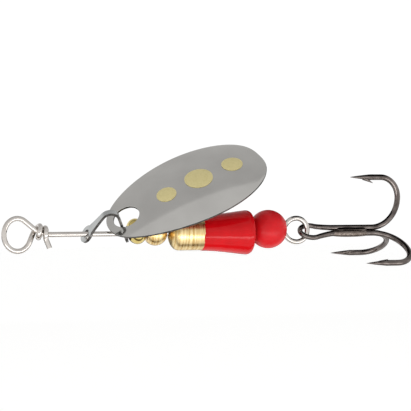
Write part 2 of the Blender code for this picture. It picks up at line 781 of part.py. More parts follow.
def barb(name, angle, target, home):
    """Raises the barb on the inner side of one point."""
    out = hook_direction(angle)
    across = Vector((1, 0, 0)).cross(out)
    half = HOOK_WIRE_D * 0.20
    bm = bmesh.new()
    corners = []
    for x, r in (
        (BARB_ROOT_X - 0.35, POINT_R - 0.10),
        (BARB_ROOT_X + 0.45, POINT_R - 0.10),
        (BARB_TIP_X, POINT_R - BARB_LIFT),
        (BARB_TIP_X - 0.10, POINT_R - BARB_LIFT - 0.03),
    ):
        wide = half if r > POINT_R - 0.5 else half * 0.3
        corners.append([point(x, 0, 0) + out * r * MM + across * side * wide * MM for side in (-1, 1)])
    verts = [[bm.verts.new(p) for p in pair] for pair in corners]
    bm.faces.new([v[0] for v in verts])
    bm.faces.new([v[1] for v in verts][::-1])
    for i in range(4):
        a = verts[i]
        b = verts[(i + 1) % 4]
        bm.faces.new((a[0], a[1], b[1], b[0]))
    tool = finish_mesh(bm, name, home)
    tool.display_type = "WIRE"
    tool.hide_render = True
    return boolean(target, tool, "UNION")


def eye_point(angle):
    """A point of the hook eye's centre line; 0 is the rear, 90 the upper side."""
    a = math.radians(angle)
    t = math.radians(EYE_TILT)
    up = Vector((0, math.sin(t), math.cos(t)))
    return point(EYE_X + EYE_HALF_LENGTH * math.cos(a), 0, 0) + up * EYE_HALF_WIDTH * math.sin(a) * MM


def eye_direction(angle):
    """Unit direction along the eye for a growing angle."""
    step = 0.5
    return (eye_point(angle + step) - eye_point(angle - step)).normalized()


def double_hook(home, cutters, skin):
    """One wire bent into two hooks with the eye between them."""
    upper = HOOK_TURN
    lower = HOOK_TURN - 120
    first, first_scales = bent_hook(upper)
    second, second_scales = bent_hook(lower)
    path = first[::-1]
    scales = first_scales[::-1]
    start = point(SHANK_X, 0, 0) + hook_direction(upper) * BUNDLE_R * MM
    end = point(SHANK_X, 0, 0) + hook_direction(lower) * BUNDLE_R * MM
    leave = EYE_LEAVE
    middle = [start]
    back = Vector((-1, 0, 0))
    middle += hermite(start, back * 1.5 * MM, eye_point(leave), eye_direction(leave) * 1.5 * MM, 8)
    for i in range(1, 29):
        middle.append(eye_point(leave + (360 - 2 * leave) * i / 28))
    middle += hermite(middle[-1], eye_direction(-leave) * 1.5 * MM, end, -back * 1.5 * MM, 8)
    path += middle + second
    for i in range(len(middle)):
        near = min(i, len(middle) - 1 - i) / 8
        scales.append(1.0 - (1.0 - EYE_THINNING) * min(1.0, near))
    scales += second_scales
    made = tube("hook_double", path, HOOK_WIRE_D, home, skin, scales)
    barb("barb_upper", upper, made, cutters)
    barb("barb_lower", lower, made, cutters)
    return made


def single_hook(home, cutters, skin):
    """The third hook, brazed into the groove between the other two shanks."""
    angle = HOOK_TURN - 240
    line, scales = bent_hook(angle)
    shank = point(SINGLE_SHANK_X, 0, 0) + hook_direction(angle) * BUNDLE_R * MM
    path = [shank] + line
    made = tube("hook_single", path, HOOK_WIRE_D, home, skin, [1.0] + scales)
    return barb("barb_single", angle, made, cutters)


def braze(home, cutters, skin):
    """The braze that fills the grooves between the three shanks."""
    outline = [
        (BRAZE_FRONT_X, 0.0),
        (BRAZE_FRONT_X, BRAZE_R - 0.10),
        (BRAZE_FRONT_X + 0.3, BRAZE_R),
        (BRAZE_REAR_X - 0.3, BRAZE_R),
        (BRAZE_REAR_X, BRAZE_R - 0.10),
        (BRAZE_REAR_X, 0.0),
    ]
    bm = bmesh.new()
    ring = [bm.verts.new(point(x, 0, r)) for x, r in outline]
    edges = [bm.edges.new(pair) for pair in zip(ring, ring[1:])]
    bmesh.ops.spin(
        bm,
        geom=ring + edges,
        cent=(0, 0, 0),
        axis=(1, 0, 0),
        angle=2 * math.pi,
        steps=48,
        use_merge=True,
    )
    made = finish_mesh(bm, "braze", home, skin)
    for label, turn in (("upper", 0), ("lower", -120), ("single", -240)):
        offset = hook_direction(HOOK_TURN + turn) * BUNDLE_R * MM
        tool = cylinder(
            "braze_groove_" + label,
            HOOK_WIRE_D / 2 + BRAZE_CLEAR,
            point(BRAZE_FRONT_X - 1, 0, 0) + offset,
            point(BRAZE_REAR_X + 1, 0, 0) + offset,
            cutters,
            32,
        )
        boolean(made, tool, "DIFFERENCE")
    return made


def pivot(name, place, pieces, parent=None):
    """An empty on a joint's axis that carries the pieces which move there."""
    made = bpy.data.objects.new(name, None)
    made.empty_display_size = MM
    bpy.context.scene.collection.objects.link(made)
    made.parent = parent
    bpy.context.view_layer.update()
    made.matrix_world = Matrix.Translation(place)
    bpy.context.view_layer.update()
    for piece in pieces:
        piece.parent = made
        piece.matrix_parent_inverse = made.matrix_world.inverted()
    return made


def blade_pivot():
    """Where the blade's front strip hangs in the clevis."""
    outward, across = clevis_axes()
    place = blade_tip() - outward * PIVOT_IN + across * PIVOT_ASIDE
    place.x += PIVOT_BEHIND
    return place * MM


def main():
    """Builds every piece and hangs the moving ones on their joints."""
    clear_scene()
    home = new_collection("inline_spinner")
    cutters = new_collection("cutters", hidden=True)
    steel = material("stainless_wire", (0.62, 0.61, 0.59), 1.0, 0.22)
    nickel = material("nickel_plate", (0.60, 0.59, 0.57), 1.0, 0.30)
    foil = material("pale_gold_foil", (0.64, 0.55, 0.30), 0.4, 0.5)
    polished = material("polished_brass", (0.74, 0.62, 0.32), 1.0, 0.18)
    satin = material("satin_brass", (0.78, 0.62, 0.36), 1.0, 0.30)
    paint = material("red_enamel", (0.60, 0.01, 0.01), 0.0, 0.12)
    red = material("red_bead_plastic", (0.62, 0.03, 0.04), 0.0, 0.30)
    black = material("black_nickel", (0.06, 0.055, 0.055), 1.0, 0.25)
    silver = material("braze_metal", (0.45, 0.42, 0.40), 1.0, 0.35)

    tube("shaft_wire", shaft_points(), WIRE_D, home, steel)
    bead = red_bead(home, red)
    train = pivot("train_slide", point(RED_X, 0, 0), [bead])

    shell = body(home, satin)
    coat = enamel(home, paint)
    pivot("body_spin", point(BODY_FRONT_X, 0, 0), [shell, coat], train)

    pivot("nose_spin", point(NOSE_X, 0, 0), [nose_bead(home, satin)], train)

    strip = clevis_blank(home, steel)
    pierce_clevis(strip, cutters)
    turn = pivot("clevis_spin", point(CLEVIS_X, 0, 0), [strip], train)

    pivot("spacer_spin", point(SPACER_X, 0, SPACER_Z), [spacer_bead(home, polished)], turn)

    sheet = blade(home, cutters, nickel)
    pivot("blade_swing", blade_pivot(), [sheet] + spots(home, foil), turn)

    pair = double_hook(home, cutters, black)
    third = single_hook(home, cutters, black)
    join = braze(home, cutters, silver)
    pivot("hook_swing", point(LOOP_X, 0, LOOP_Z), [pair, third, join])


main()
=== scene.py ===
"""Looks of an inline spinner: plated blade, turned brass, red enamel, wire shaft and treble hook.

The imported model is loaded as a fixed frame, and every piece here is built around it. Lengths in
the dataclasses are millimetres and angles are degrees; meshes are metres in the frame's axes,
+X along the shaft from the line tie to the hook and +Z up.
"""

from __future__ import annotations

import json
import logging
import math
from dataclasses import dataclass
from enum import Enum
from typing import Any, Sequence

import bmesh
import bpy
from mathutils import Matrix, Vector, noise


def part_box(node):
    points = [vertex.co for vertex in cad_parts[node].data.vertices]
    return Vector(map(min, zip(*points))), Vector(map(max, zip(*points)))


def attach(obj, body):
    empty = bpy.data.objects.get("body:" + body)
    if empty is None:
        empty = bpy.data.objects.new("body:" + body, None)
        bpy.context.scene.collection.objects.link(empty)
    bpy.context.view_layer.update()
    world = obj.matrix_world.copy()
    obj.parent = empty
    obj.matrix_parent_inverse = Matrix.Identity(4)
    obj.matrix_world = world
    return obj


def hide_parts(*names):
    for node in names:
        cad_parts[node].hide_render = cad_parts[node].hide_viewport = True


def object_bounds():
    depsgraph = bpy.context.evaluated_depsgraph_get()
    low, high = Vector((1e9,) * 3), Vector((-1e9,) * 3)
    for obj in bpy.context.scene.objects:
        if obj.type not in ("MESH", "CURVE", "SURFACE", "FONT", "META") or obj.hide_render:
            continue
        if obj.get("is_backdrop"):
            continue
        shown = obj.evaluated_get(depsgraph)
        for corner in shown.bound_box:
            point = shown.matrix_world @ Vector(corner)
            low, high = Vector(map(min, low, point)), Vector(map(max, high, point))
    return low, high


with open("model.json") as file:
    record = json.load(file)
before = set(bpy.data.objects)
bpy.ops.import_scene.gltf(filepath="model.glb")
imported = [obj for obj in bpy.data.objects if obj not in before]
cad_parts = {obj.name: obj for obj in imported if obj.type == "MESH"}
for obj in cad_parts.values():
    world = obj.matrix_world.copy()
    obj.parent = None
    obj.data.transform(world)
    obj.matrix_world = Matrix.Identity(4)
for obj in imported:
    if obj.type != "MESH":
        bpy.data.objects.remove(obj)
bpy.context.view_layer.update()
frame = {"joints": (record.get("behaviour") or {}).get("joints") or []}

MM = 0.001
LOG = logging.getLogger("spinner")
X_AXIS = Vector((1.0, 0.0, 0.0))
JOINTS = {joint["name"]: joint for joint in frame["joints"]}


class Body(Enum):
    """The rigid bodies that pieces ride on."""

    SHAFT = "shaft"
    TRAIN = "bead_train"
    BODY = "body"
    NOSE = "nose"
    CLEVIS = "clevis"
    SPACER = "spacer"
    BLADE = "blade"
    HOOK = "treble_hook"


# ------------------------------------------------------------------ small tools


def linear(code: str) -> tuple[float, float, float, float]:
    """Turns an sRGB hex colour to linear.

    Args:
        code: Six hex digits, with or without a leading #.

    Returns:
        Red, green, blue and an alpha of 1.
    """
    digits = code.lstrip("#")
    made = []
    for i in (0, 2, 4):
        v = int(digits[i : i + 2], 16) / 255
        made.append(v / 12.92 if v <= 0.04045 else ((v + 0.055) / 1.055) ** 2.4)
    return (made[0], made[1], made[2], 1.0)


def mm(x: float, y: float, z: float) -> Vector:
    """A point given in millimetres."""
    return Vector((x, y, z)) * MM


def centre(node: str) -> Vector:
    """The middle of a CAD node's box, in metres."""
    low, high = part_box(node)
    return (low + high) / 2


def joint_place(name: str) -> Vector:
    """The point that a hinge turns about, in metres."""
    return Vector(JOINTS[name]["pos_m"])


def hermite(a: Vector, ta: Vector, b: Vector, tb: Vector, count: int) -> list[Vector]:
    """Points on a smooth curve between two points with given end tangents.

    Args:
        a: Start, which isn't repeated in the result.
        ta: Tangent at the start.
        b: End, which is the last point.
        tb: Tangent at the end.
        count: Number of points.

    Returns:
        The points after the start.
    """
    made = []
    for i in range(1, count + 1):
        t = i / count
        h0 = 2 * t**3 - 3 * t**2 + 1
        h1 = t**3 - 2 * t**2 + t
        made.append(a * h0 + ta * h1 + b * (1 - h0) + tb * (t**3 - t**2))
    return made


def add_node(tree: Any, kind: str, links: dict | None = None, **settings: Any) -> Any:
    """Adds a shader node with its settings and links.

    Args:
        tree: The node tree.
        kind: The node's class name without the ShaderNode prefix.
        links: Input name or number to an output socket or a value.
        settings: Attributes to set on the node.

    Returns:
        The node.
    """
    node = tree.nodes.new("ShaderNode" + kind)
    for key, value in settings.items():
        setattr(node, key, value)
    for key, value in (links or {}).items():
        if isinstance(value, bpy.types.NodeSocket):
            tree.links.new(value, node.inputs[key])
        else:
            node.inputs[key].default_value = value
    return node


def grown(bm: bmesh.types.BMesh, edges: list[Any], step: Matrix) -> tuple[list[Any], list[Any]]:
    """Extrudes a ring of edges once and moves the new ring.

    Args:
        bm: The mesh.
        edges: The ring's edges.
        step: Where the new ring goes, from the old one.

    Returns:
        The new ring's vertices and its edges.
    """
    geom = bmesh.ops.extrude_edge_only(bm, edges=edges)["geom"]
    ring = [g for g in geom if isinstance(g, bmesh.types.BMVert)]
    lines = [g for g in geom if isinstance(g, bmesh.types.BMEdge)]
    lines = [line for line in lines if line.verts[0] in ring and line.verts[1] in ring]
    bmesh.ops.transform(bm, matrix=step, verts=ring)
    return ring, lines


def sweep(bm: bmesh.types.BMesh, path: Sequence[Vector], radii: Sequence[float], sides: int = 20,
          chamfer: float = 0.05) -> None:
    """Draws a round wire along a path by extruding a circle, and closes its ends.

    Each vertex keeps its place in the unrolled wire in the "wire" attribute: millimetres along
    the wire, then the cosine and sine round it.

    Args:
        bm: The mesh to draw into.
        path: Centre line in metres.
        radii: Wire radius in metres at each point.
        sides: Faces round the wire.
        chamfer: Rounding of the cut ends in millimetres.
    """
    layer = bm.verts.layers.float_vector.get("wire") or bm.verts.layers.float_vector.new("wire")
    frames = []
    up = Vector((0.0, 1.0, 0.0))
    for i, place in enumerate(path):
        along = (path[min(i + 1, len(path) - 1)] - path[max(i - 1, 0)]).normalized()
        across = along.cross(up).normalized()
        up = across.cross(along)
        turn = Matrix((across, up, along)).transposed().to_4x4()
        frames.append(Matrix.Translation(place) @ turn @ Matrix.Scale(radii[i], 4))
    ring = bmesh.ops.create_circle(bm, segments=sides, radius=1.0, matrix=frames[0])["verts"]
    ring_edges = list({edge for v in ring for edge in v.link_edges})
    ends = [ring_edges]
    gone = 0.0
    for i in range(len(path)):
        if i:
            gone += (path[i] - path[i - 1]).length / MM
            ring, ring_edges = grown(bm, ring_edges, frames[i] @ frames[i - 1].inverted())
        back = frames[i].inverted()
        for v in ring:
            local = back @ v.co
            v[layer] = (gone, local.x, local.y)
    ends.append(ring_edges)
    for edges in ends:
        cap = bmesh.ops.edgeloop_fill(bm, edges=edges)["faces"]
        if chamfer > 0:
            bmesh.ops.bevel(
                bm, geom=list(cap[0].edges), offset=chamfer * MM, segments=3, profile=0.5,
                affect="EDGES", material=-1,
            )


def turned(bm: bmesh.types.BMesh, profile: Sequence[tuple], steps: int, closed: bool = True) -> None:
    """Turns an outline of (x, radius) millimetre pairs once round the X axis.

    Args:
        bm: The mesh to draw into.
        profile: The outline, front to rear.
        steps: Faces round the turn.
        closed: Whether the outline joins its own start.
    """
    ring = [bm.verts.new(mm(x, 0, r)) for x, r in profile]
    pairs = list(zip(ring, ring[1:])) + ([(ring[-1], ring[0])] if closed else [])
    edges = [bm.edges.new(pair) for pair in pairs]
    bmesh.ops.spin(
        bm, geom=ring + edges, cent=(0, 0, 0), axis=(1, 0, 0), angle=2 * math.pi, steps=steps,
        use_merge=True,
    )


def combined(target: bpy.types.Object, tool: bpy.types.Object, operation: str) -> None:
    """Joins a second closed body into the target's mesh, or cuts it out, and removes it.

    Args:
        target: The piece that keeps the result.
        tool: The second body.
        operation: UNION or DIFFERENCE.
    """
    step = target.modifiers.new("combined", "BOOLEAN")
    step.operation = operation
    step.solver = "EXACT"
    step.object = tool
    bpy.context.view_layer.update()
    joined = bpy.data.meshes.new_from_object(target.evaluated_get(bpy.context.evaluated_depsgraph_get()))
    target.modifiers.clear()
    old = target.data
    target.data = joined
    bpy.data.meshes.remove(old)
    bpy.data.objects.remove(tool, do_unlink=True)


def as_object(bm: bmesh.types.BMesh, name: str, sharp: float = 38.0) -> bpy.types.Object:
    """Turns a bmesh into a smooth shaded object at the origin, faces outwards.

    Args:
        bm: The mesh, which is freed.
        name: The object's name.
        sharp: Edges bent by more than this many degrees stay sharp.

    Returns:
        The new object.
    """
    bmesh.ops.remove_doubles(bm, verts=bm.verts, dist=1e-7)
    bmesh.ops.recalc_face_normals(bm, faces=bm.faces)
    mesh = bpy.data.meshes.new(name)
    bm.to_mesh(mesh)
    bm.free()
    mesh.shade_smooth()
    mesh.set_sharp_from_angle(angle=math.radians(sharp))
    made = bpy.data.objects.new(name, mesh)
    bpy.context.scene.collection.objects.link(made)
    return made


def settle(piece: bpy.types.Object, node: str) -> None:
    """Moves a piece's mesh so that its box has the same middle as the CAD node's.

    Args:
        piece: The piece to move.
        node: The CAD node that it stands for.
    """
    corners = [v.co for v in piece.data.vertices]
    low = Vector([min(c[i] for c in corners) for i in range(3)])
    high = Vector([max(c[i] for c in corners) for i in range(3)])
    piece.data.transform(Matrix.Translation(centre(node) - (low + high) / 2))


def paint_edge_shade(piece: bpy.types.Object, ways: Sequence[Vector], reach: float) -> None:
    """Gives the cut edge finish, whose dark grey is painted shade, to faces that look away from the sheet's
    own plane.

    Args:
        piece: A sheet metal piece that already has its first finish.
        ways: Directions that count as sideways, each with its opposite.
        reach: Cosine of the largest angle between a face's normal and a sideways direction.
    """
    piece.data.materials.append(PAINTED_SHADE_CUT_EDGE.material())
    for face in piece.data.polygons:
        sideways = sum(face.normal.dot(way) ** 2 for way in ways)
        if sideways > reach**2:
            face.material_index = 1


def dress(piece: bpy.types.Object, body: Body, node: str, skin: bpy.types.Material) -> None:
    """Gives a piece its finish and its body, and hides the CAD node that it stands for.

    Args:
        piece: The finished piece.
        body: The body that it rides on.
        node: The CAD node that it stands for, which is hidden.
        skin: Its material.
    """
    piece.data.materials.clear()
    piece.data.materials.append(skin)
    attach(piece, body.value)
    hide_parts(node)
    LOG.info("%s: %d faces on %s", piece.name, len(piece.data.polygons), body.value)


# ------------------------------------------------------------------ finishes


class Coordinates(Enum):
    """What a pattern follows."""

    OBJECT = "object"
    WIRE = "wire"


@dataclass(frozen=True)
class Finish:
    """What every finish shares: a Principled shader fed by noise in millimetres."""

    name: str
    colour: str
    deep: str
    metallic: float = 1.0
    roughness: float = 0.2
    spread: float = 0.06  # how far the roughness wanders either way
    cloud_mm: float = 2.0  # size of the soft patches in colour and roughness
    grain_mm: tuple[float, float, float] = (0.3, 0.3, 0.3)  # bump pattern's size along X, Y, Z
    relief_mm: float = 0.002
    follows: Coordinates = Coordinates.OBJECT
    specular: float = 0.5

    def places(self, tree: Any) -> Any:
        """Coordinates in millimetres, as an output socket."""
        if self.follows is Coordinates.WIRE:
            return add_node(tree, "Attribute", attribute_name="wire").outputs["Vector"]
        held = add_node(tree, "TexCoord").outputs["Object"]
        scaled = add_node(tree, "Mapping", {"Vector": held, "Scale": (1 / MM, 1 / MM, 1 / MM)})
        return scaled.outputs["Vector"]

    def grain(self, tree: Any, places: Any) -> Any:
        """The fine surface pattern, 0 to 1."""
        scale = tuple(1 / size for size in self.grain_mm)
        stretched = add_node(tree, "Mapping", {"Vector": places, "Scale": scale})
        return add_node(
            tree, "TexNoise", {"Vector": stretched.outputs[0], "Scale": 1.0, "Detail": 3.0, "Roughness": 0.6}
        ).outputs["Fac"]

    def tint(self, tree: Any, places: Any, cloud: Any) -> Any:
        """The surface colour, as an output socket."""
        mixed = add_node(
            tree, "Mix", {"Factor": cloud, "A": linear(self.deep), "B": linear(self.colour)}, data_type="RGBA"
        )
        return mixed.outputs["Result"]

    def material(self) -> bpy.types.Material:
        """Builds the material.

        Returns:
            The finished material.
        """
        made = bpy.data.materials.new(self.name)
        made.use_nodes = True
        tree = made.node_tree
        shader = tree.nodes["Principled BSDF"]
        places = self.places(tree)
        cloud = add_node(
            tree, "TexNoise", {"Vector": places, "Scale": 1 / self.cloud_mm, "Detail": 2.0, "Roughness": 0.5}
        ).outputs["Fac"]
        eased = add_node(
            tree, "MapRange", {"Value": cloud, "From Min": 0.3, "From Max": 0.7, "To Min": 0.0, "To Max": 1.0}
        ).outputs[0]
        grain = self.grain(tree, places)
        rough = add_node(
            tree, "MapRange",
            {"Value": grain, "From Min": 0.25, "From Max": 0.75,
             "To Min": max(0.02, self.roughness - self.spread), "To Max": self.roughness + self.spread},
        )
        bump = add_node(tree, "Bump", {"Height": grain, "Strength": 1.0, "Distance": self.relief_mm * MM})
        tree.links.new(self.tint(tree, places, eased), shader.inputs["Base Color"])
        tree.links.new(rough.outputs[0], shader.inputs["Roughness"])
        tree.links.new(bump.outputs[0], shader.inputs["Normal"])
        shader.inputs["Metallic"].default_value = self.metallic
        shader.inputs["Specular IOR Level"].default_value = self.specular
        self.extras(tree, shader, places)
        return made

    def extras(self, tree: Any, shader: Any, places: Any) -> None:
        """Anything that one finish adds to the shader."""


@dataclass(frozen=True)
class FoilFinish(Finish):
    """Hot-stamped foil: a fine grain of lighter and darker flecks over a soft metallic ground."""

    fleck_mm: float = 0.16

    def tint(self, tree: Any, places: Any, cloud: Any) -> Any:
        """Flecks two or three tenths of a millimetre across, a little coarser than real ones."""
        fleck = add_node(
            tree, "TexVoronoi", {"Vector": places, "Scale": 1 / self.fleck_mm}
        ).outputs["Color"]
        grey = add_node(tree, "RGBToBW", {0: fleck}).outputs[0]
        part = add_node(tree, "Math", {0: grey, 1: cloud}, operation="MULTIPLY").outputs[0]
        mixed = add_node(
            tree, "Mix", {"Factor": part, "A": linear(self.colour), "B": linear(self.deep)}, data_type="RGBA"
        )
        return mixed.outputs["Result"]


@dataclass(frozen=True)
class TurnedFinish(Finish):
    """Turned metal whose colour follows its tool marks, ring by ring."""

    def tint(self, tree: Any, places: Any, cloud: Any) -> Any:
        """Lighter ridges and browner grooves."""
        rings = add_node(
            tree, "MapRange", {"Value": self.grain(tree, places), "From Min": 0.38, "From Max": 0.62}
        ).outputs[0]
        mixed = add_node(
            tree, "Mix", {"Factor": rings, "A": linear(self.deep), "B": linear(self.colour)}, data_type="RGBA"
        )
        return mixed.outputs["Result"]


@dataclass(frozen=True)
class MouldedFinish(Finish):
    """Moulded plastic that lets a little light in under its surface."""

    scatter: float = 0.12

    def extras(self, tree: Any, shader: Any, places: Any) -> None:
        """Sets the scattering, about a millimetre deep in red."""
        shader.inputs["Subsurface Weight"].default_value = self.scatter
        shader.inputs["Subsurface Radius"].default_value = (1.0, 0.15, 0.1)
        shader.inputs["Subsurface Scale"].default_value = 0.8 * MM


# Drawn stainless spring wire: bright, with faint lengthwise die lines.
STAINLESS_WIRE = Finish(
    "stainless_steel_drawn", "#D8D3CE", "#C3BDB7", roughness=0.13, spread=0.05, cloud_mm=3.0,
    grain_mm=(2.5, 0.12, 0.12), relief_mm=0.0025, follows=Coordinates.WIRE,
)
# Nickel plate over polished brass sheet: near mirror, with a hint of buffing swirl.
NICKEL_BLADE = Finish(
    "nickel_plate_buffed", "#D2D0CC", "#C8C6C2", roughness=0.10, spread=0.03, cloud_mm=5.0,
    grain_mm=(1.6, 0.5, 0.5), relief_mm=0.0006,
)
# Nickel plate over pressed strip: a little brighter and softer than the blade.
NICKEL_CLEVIS = Finish(
    "nickel_plate_pressed", "#C8CAC9", "#B6B8B7", roughness=0.16, spread=0.05, cloud_mm=1.2,
    grain_mm=(0.8, 0.15, 0.15), relief_mm=0.0015,
)
# The cut edge of plated sheet: sheared and never buffed, so rougher; its dark grey is painted shade that
# draws a thin dark line round the shine.
PAINTED_SHADE_CUT_EDGE = Finish(
    "nickel_cut_edge_painted_shade", "#6E6C6A", "#454341", roughness=0.30, spread=0.08, cloud_mm=0.8,
    grain_mm=(0.25, 0.25, 0.25), relief_mm=0.002,
)
# Hot-stamped pale gold foil: matt, slightly granular.
GOLD_FOIL = FoilFinish(
    "gold_foil_stamped", "#D9CC94", "#C6B97E", metallic=0.15, roughness=0.46, spread=0.08, cloud_mm=0.25,
    grain_mm=(0.12, 0.12, 0.12), relief_mm=0.003,
)
# Barrel-polished brass: bright, greenish yellow.
POLISHED_BRASS = Finish(
    "brass_polished", "#E0CC84", "#CDB568", roughness=0.13, spread=0.04, cloud_mm=1.0,
    grain_mm=(0.10, 1.5, 1.5), relief_mm=0.0012,
)
# Turned brass left with its tool marks: fine rings that stretch the highlights round it.
TURNED_BRASS = TurnedFinish(
    "brass_turned", "#F3DDA9", "#CBA869", roughness=0.30, spread=0.08, cloud_mm=1.6,
    grain_mm=(0.22, 5.0, 5.0), relief_mm=0.012,
)
# Sprayed gloss enamel: deep red with a slight orange peel under a hard clear skin.
RED_ENAMEL = Finish(
    "enamel_sprayed_gloss", "#C50A13", "#B6070F", metallic=0.0, roughness=0.12, spread=0.03, cloud_mm=2.5,
    grain_mm=(0.9, 0.9, 0.9), relief_mm=0.006, specular=0.20,
)
# Moulded styrene bead: softer shine, faint flow marks.
RED_PLASTIC = MouldedFinish(
    "styrene_moulded", "#C9161E", "#BC1017", metallic=0.0, roughness=0.34, spread=0.06, cloud_mm=1.8,
    grain_mm=(0.35, 0.35, 0.35), relief_mm=0.006, specular=0.22,
)
# Black nickel over forged carbon-steel wire: smoky, with small bright breaks.
BLACK_NICKEL = Finish(
    "black_nickel_plated", "#7E7672", "#4C4542", roughness=0.14, spread=0.06, cloud_mm=1.4,
    grain_mm=(1.8, 0.2, 0.2), relief_mm=0.003, follows=Coordinates.WIRE,
)
# Braze run into the grooves and plated black with the wires, softly lumpy; its near-black colour, darker than
# the plate, is painted shade for the grooves.
PAINTED_SHADE_GROOVE_FILL = Finish(
    "braze_groove_painted_shade", "#2B2725", "#1C1918", roughness=0.30, spread=0.10, cloud_mm=0.7,
    grain_mm=(0.45, 0.25, 0.25), relief_mm=0.01,
)
# The same braze on its outward bulge: a lighter brownish silver that is a painted highlight.
PAINTED_HIGHLIGHT_BULGE = Finish(
    "braze_bulge_painted_highlight", "#857B74", "#5E544E", roughness=0.28, spread=0.10, cloud_mm=0.6,
    grain_mm=(0.5, 0.2, 0.2), relief_mm=0.015,
)


# ------------------------------------------------------------------ sub-assemblies


@dataclass
class ShaftWire:
    """One wire: line-tie ring, wrapped neck, straight shaft and rear loop with its returned tag."""

    wire: float = 0.80
    ring_half_length: float = 1.98
    ring_half_height: float = 2.42
    wrap_gap: float = 0.045
    wrap_pitch: float = 0.93
    wrap_start: float = 2.70
    wrap_turns: float = 1.60
    tag_drop: float = 2.05
    tag_lean: float = 0.55
    straight_from: float = 5.10
    slope: float = 2.35  # length of the rise towards the ring
    climb: float = 0.118  # and how fast the shaft rises there
    ring_join: float = -26.0  # where the wraps' wire runs into the ring, as an angle round it
    ring_leave: float = -302.0  # and where it runs out into the shaft
    wrap_pull: float = 1.1  # how gently the wire bends out of the wraps
    ring_pull: float = 0.9  # and into the ring
    loop_half_height: float = 1.85
    loop_front: float = 2.02
    loop_rear: float = 1.78
    loop_first: float = 207.0  # where the lower leg runs into the loop
    loop_last: float = 513.0  # and the upper one out of it
    tag_pitch: float = 0.845
    tag_end: float = 37.20  # cut end of the returned tag, inside the red bead
    legs_part: float = 0.64  # the legs run side by side up to this far in front of the loop
    sides: int = 24

    def ring_at(self, angle: float) -> Vector:
        """A point of the line-tie ring, which is centred on the frame's origin."""
        a = math.radians(angle)
        return mm(self.ring_half_length * math.cos(a), 0, self.ring_half_height * math.sin(a))

    def ring_along(self, angle: float) -> Vector:
        """Direction round the ring."""
        return (self.ring_at(angle + 0.5) - self.ring_at(angle - 0.5)).normalized()

    def rise(self, x: float) -> float:
        """Height of the shaft's middle at x."""
        return self.climb * max(0.0, self.straight_from - x) ** 2

    def loop_at(self, angle: float) -> Vector:
        """A point of the rear loop, which is centred on the hook's hinge."""
        a = math.radians(angle)
        half = self.loop_rear if math.cos(a) > 0 else self.loop_front
        middle = joint_place("hook_swing")
        return middle + mm(half * math.cos(a), 0, self.loop_half_height * math.sin(a))

    def loop_along(self, angle: float) -> Vector:
        """Direction round the rear loop."""
        return (self.loop_at(angle + 0.5) - self.loop_at(angle - 0.5)).normalized()

    def wraps(self) -> list[Vector]:
        """The tail wound round the neck, from behind the shaft, over the top and down the front."""
        made = []
        count = 72
        radius = self.wire + self.wrap_gap
        for i in range(count + 1):
            turn = self.wrap_turns * i / count
            x = self.wrap_start + self.wrap_pitch * turn
            around = math.radians(-90 + 360 * turn)
            lean = math.atan(-2 * self.climb * max(0.0, self.straight_from - x))
            high = math.cos(around)
            out = Vector((-math.sin(lean) * high, -math.sin(around), math.cos(lean) * high))
            made.append(mm(x, 0, self.rise(x)) + out * radius * MM)
        return made

    def front(self) -> list[Vector]:
        """The cut tag, the wraps, the ring and the slope down to the straight shaft."""
        wraps = self.wraps()
        foot = Vector((wraps[-1].x + self.tag_lean * MM, wraps[-1].y, -self.tag_drop * MM))
        leaving = (wraps[-1] - wraps[-2]).normalized()
        tag = hermite(wraps[-1], leaving * 1.2 * MM, foot, mm(0.25, 0, -1.2), 12)
        path = tag[::-1] + wraps[::-1]
        start = self.ring_join
        end = self.ring_leave
        arriving = (wraps[0] - wraps[1]).normalized() * self.wrap_pull * MM
        into = -self.ring_along(start) * self.ring_pull * MM
        path += hermite(wraps[0], arriving, self.ring_at(start), into, 14)
        path += [self.ring_at(start + (end - start) * i / 64) for i in range(1, 65)]
        foot_x = self.straight_from - self.slope
        slope = Vector((1, 0, -2 * self.climb * self.slope)).normalized()
        path += hermite(
            path[-1], -self.ring_along(end) * 1.5 * MM, mm(foot_x, 0, self.rise(foot_x)), slope * 1.1 * MM, 18
        )
        for i in range(1, 13):
            x = foot_x + self.slope * i / 12
            path.append(mm(x, 0, self.rise(x)))
        return path

    def rear(self) -> list[Vector]:
        """From the straight shaft round the rear loop and back along the tag."""
        neck = joint_place("hook_swing").x - (self.loop_front + self.legs_part) * MM
        low = Vector((neck, 0, 0))
        back = Vector((neck, 0, self.tag_pitch * MM))
        pull = Vector((0.95 * MM, 0, 0))
        start = self.loop_first
        end = self.loop_last
        path = [mm(self.tag_end, 0, 0), low]
        path += hermite(low, pull, self.loop_at(start), self.loop_along(start) * 1.35 * MM, 16)
        path += [self.loop_at(start + (end - start) * i / 64) for i in range(1, 65)]
        path += hermite(path[-1], self.loop_along(end) * 1.35 * MM, back, -pull, 16)
        path.append(mm(self.tag_end, 0, self.tag_pitch))
        return path

    def build(self) -> bpy.types.Object:
        """Draws and dresses the wire.

        Returns:
            The shaft wire.
        """
        front = self.front()
        last = front[-1]
        straight = [last.lerp(mm(self.tag_end, 0, 0), i / 40) for i in range(1, 40)]
        path = front + straight + self.rear()
        bm = bmesh.new()
        sweep(bm, path, [self.wire / 2 * MM] * len(path), self.sides, 0.07)
        made = as_object(bm, "wire_shaft")
        dress(made, Body.SHAFT, "shaft_wire", STAINLESS_WIRE.material())
        return made


